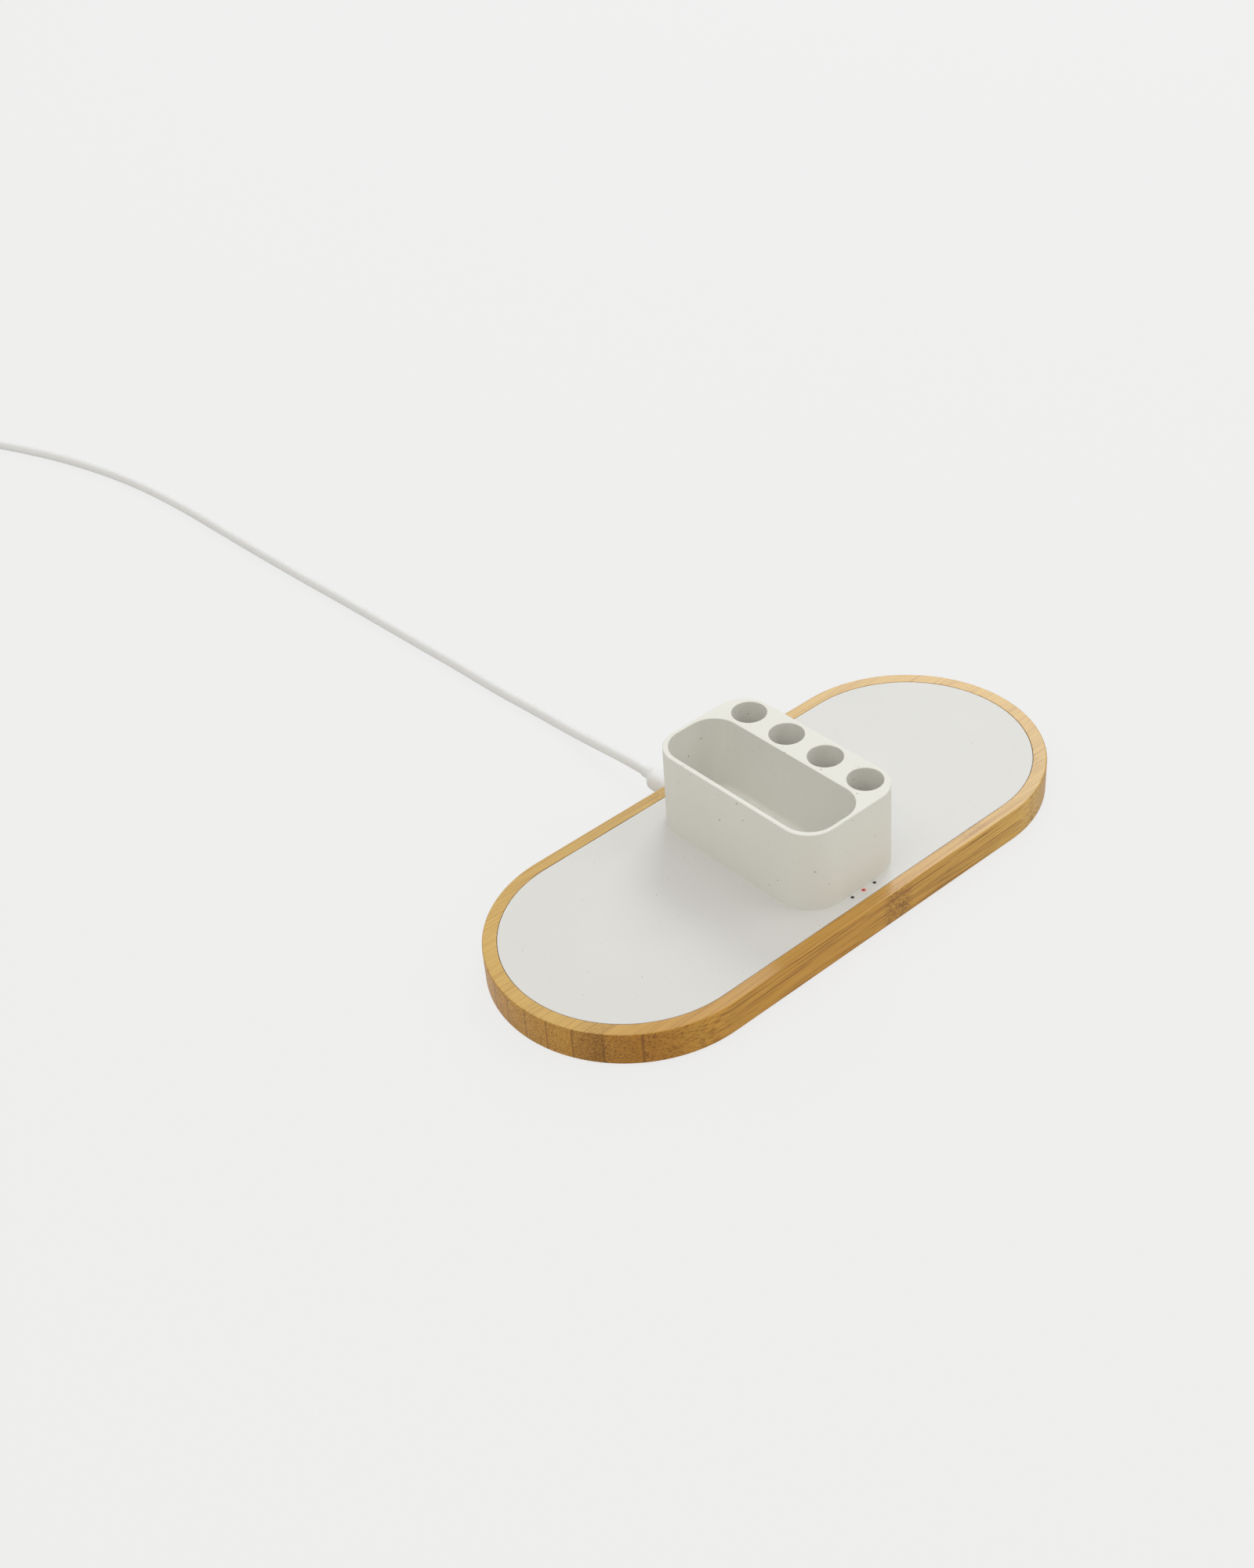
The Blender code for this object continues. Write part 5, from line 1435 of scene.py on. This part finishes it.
@dataclass
class PenHolder:
    """The moulded block with a long pocket and four round wells."""

    bottom: float = 0.0154
    foot: float = 0.01512
    top: float = 0.0505
    centre: Pair = (0.00025, -0.0005)
    size_x: float = 0.05024
    size_y: float = 0.08526
    corner: float = 0.01233
    draft_x: float = 0.00107
    draft_y: float = 0.00150
    corner_growth: float = 0.0036
    corner_steps: int = 24
    top_round: float = 0.00035
    foot_flare: float = 0.0002
    floor: float = 0.0024
    pocket: Triple = (0.03049, 0.0820, 0.01127)
    pocket_x: float = -0.007605
    pocket_draft: float = 0.0006
    pocket_round: float = 0.0020
    mouth_round: float = 0.0003
    well_count: int = 4
    well_x: float = 0.01663
    well_pitch: float = 0.020507
    well_radius: float = 0.00692
    well_draft: float = 0.0003
    well_round: float = 0.0015
    boss_radius: float = 0.0026
    boss_bottom: float = 0.0134
    boss_places: tuple[Pair, ...] = ((-0.01585, -0.0285), (-0.01585, 0.0275), (0.01663, -0.021007),
                                     (0.01663, 0.020007))
    pilot_radius: float = 0.0012
    pilot_top: float = 0.0162

    def section(self, share: float, drawn_in: float) -> Outline:
        """The outer outline at one height.

        Args:
            share: The height, as a share of the whole.
            drawn_in: How far it is drawn in.

        Returns:
            Its points.
        """
        left = 1 - share
        return rounded_rectangle(self.size_x + 2 * (self.draft_x * left - drawn_in),
                                 self.size_y + 2 * (self.draft_y * left - drawn_in),
                                 self.corner + self.corner_growth * left - drawn_in, self.corner_steps, self.centre)

    def block(self) -> Piece:
        """The drafted outer body, with a small hollow flare where it meets the plate.

        Returns:
            The piece.
        """
        rings = [level(self.section(0, -to_go), self.foot + inset)
                 for inset, to_go in quarter_round(self.foot_flare, 5)]
        rings += [level(self.section(1, inset), self.top - to_go)
                  for inset, to_go in quarter_round(self.top_round, 6)]
        return Skin().loft(rings).piece("pen_holder_block")

    def hollow(self, draft: float, floor_round: float, floor_steps: int) -> list[Pair]:
        """(widened, height) up a hollow's wall, from its floor to above its rounded mouth.

        Args:
            draft: How much wider the hollow is at its mouth than at its floor.
            floor_round: Radius where the wall meets the floor.
            floor_steps: Facets of that radius.

        Returns:
            The points, widened from the wall at the mouth.
        """
        base = self.bottom + self.floor
        found = [(-draft - inset, base + to_go) for inset, to_go in reversed(quarter_round(floor_round, floor_steps))]
        found += [(out, self.top - to_go) for out, to_go in quarter_round(self.mouth_round, 6)]
        return [*found, (self.mouth_round, self.top + OVERRUN)]

    def pocket_cutter(self) -> Piece:
        """The long pocket's hollow.

        Returns:
            The piece.
        """
        size_x, size_y, radius = self.pocket
        rings = [level(rounded_rectangle(size_x + 2 * out, size_y + 2 * out, radius + out, self.corner_steps,
                                         (self.pocket_x, self.centre[1])), height)
                 for out, height in self.hollow(self.pocket_draft, self.pocket_round, 8)]
        return Skin().loft(rings).piece("pocket_cutter")

    def build(self, pattern: TurnedPattern, composite: Material) -> None:
        """Builds the pen holder in place of its CAD node.

        Args:
            pattern: The tree for turned pieces.
            composite: Its finish.
        """
        made = self.block()
        bosses = rod(self.boss_radius, self.boss_bottom, self.bottom + OVERRUN)
        carve(made, pattern.make("boss_bodies", bosses, self.boss_places, composite, 32), Cut.JOIN)
        carve(made, self.pocket_cutter(), Cut.AWAY)
        wall = [(self.well_radius + out, height) for out, height in self.hollow(self.well_draft, self.well_round, 6)]
        well = [(0, wall[0][1]), *wall, (0, wall[-1][1])]
        wells = [(self.well_x, self.centre[1] + (number - (self.well_count - 1) / 2) * self.well_pitch)
                 for number in range(self.well_count)]
        carve(made, pattern.make("well_cutters", well, wells, composite, 96), Cut.AWAY)
        pilots = rod(self.pilot_radius, self.boss_bottom - OVERRUN, self.pilot_top)
        carve(made, pattern.make("pilot_cutters", pilots, self.boss_places, composite, 24), Cut.AWAY)
        join_frame(dress(made, composite), Body.CHARGER, ["pen_holder"])


# Assembly


@dataclass
class Wardrobe:
    """Every finish, built once, and the CAD nodes that wear them."""

    lamp_mm: Triple = (0.75, -45.5, 15.1)
    made: dict[Slot, Material] = field(default_factory=dict)

    def build(self) -> None:
        """Builds the finish of each slot."""
        even = (1.0, 1.0, 1.0)
        kinds = {
            Slot.BAMBOO: LaminatedBamboo(),
            Slot.COMPOSITE: FleckedComposite("fibre_filled_polypropylene_plate", "DFDEDF", "A99F8B",
                                             ((4.2, 0.36, 0.5, 0.55), (1.8, 0.24, 0.35, 0.40)), self.lamp_mm),
            # ABS is a little greyer than the plate and keeps the mould's texture.
            Slot.BASE: MouldedPlain("abs_base_light_grey", "D8D8D4", 0.55),
            # Silicone rubber has no gloss.
            Slot.RUBBER: MouldedPlain("silicone_rubber_feet", "C9C9C6", 0.85, relief_mm=0.02),
            # Zinc plating has no draw lines.
            Slot.SCREW: PlatedMetal("zinc_plated_screw_steel", "B9B9B6", 0.35, even, 0.3),
            Slot.BOARD: SolderMask(),
            # Sintered ferrite is dull and slightly grainy.
            Slot.FERRITE: MouldedPlain("sintered_ferrite", "3B3B3D", 0.7, 0.25, 0.02, 0.1),
            Slot.CHIP: MouldedPlain("chip_epoxy_black", "1C1C1E", 0.5, 0.15, 0.01, 0.08),
            Slot.CAPACITOR: MouldedPlain("capacitor_ceramic_tan", "A98C64", 0.45, 0.2, 0.01, 0.1),
            Slot.LED: MouldedPlain("led_phosphor_cream", "E9DFA8", 0.35),
            Slot.COPPER: PlatedMetal("enamelled_copper_litz", "B5713A", 0.35, even, 0.2),
            # The pins are clear acrylic; unlit ones show the dark inside.
            Slot.CLEAR_DARK: MouldedPlain("acrylic_light_pipe_unlit", "0F0D09", 0.40),
            Slot.CLEAR_RED: MouldedPlain("acrylic_light_pipe_lit_red", "A82A35", 0.3, glow="B42430",
                                         glow_strength=0.25),
            # Drawn steel keeps fine lines; along Y they follow the plug in the tray.
            Slot.STEEL: PlatedMetal("nickel_plated_shell_steel", "C4C4C2", 0.3, (1.0, 0.05, 1.0), 0.15),
            Slot.CONTACT: MouldedPlain("liquid_crystal_polymer_black", "222224", 0.5),
            Slot.CORD: ElastomerJacket(),
        }
        self.made = {slot: finish.build() for slot, finish in kinds.items()}

    def dress_nodes(self) -> None:
        """Gives every CAD node the finish of its slot."""
        slots = {part["node"]: Slot(part["material_slot"]) for part in frame["record"]["subparts"]}
        for name, node in frame["nodes"].items():
            if not node.material_slots:
                node.data.materials.append(None)
            node.material_slots[0].material = self.made[slots[name]]
        LOG.info("%d CAD nodes are dressed", len(slots))


def main() -> None:
    """Builds the studio, the lead, the tray and the pen holder around the frame."""
    logging.basicConfig(level=logging.INFO, format="%(name)s: %(message)s")
    Studio().build()
    wardrobe = Wardrobe()
    wardrobe.build()
    wardrobe.dress_nodes()
    finishes = wardrobe.made
    strap = MouldedPlain("silicone_strap_white", "D6D6D3", 0.6).build()
    Lead().build(finishes[Slot.CORD], strap, finishes[Slot.STEEL])
    pattern = TurnedPattern()
    holder = PenHolder()
    Tray(pattern).build(finishes, holder.boss_places)
    # The holder is the same fibre-filled moulding as the plate; its lighter colour is painted light that brightens
    # its shaded walls, pocket and wells.
    white = FleckedComposite("fibre_filled_polypropylene_holder_painted_lighter", "E9E8E4", "857E6E",
                             ((4.2, 0.44, 0.60, 0.85), (2.0, 0.26, 0.35, 0.50)))
    holder.build(pattern, white.build())


if __name__ == "__main__":
    main()
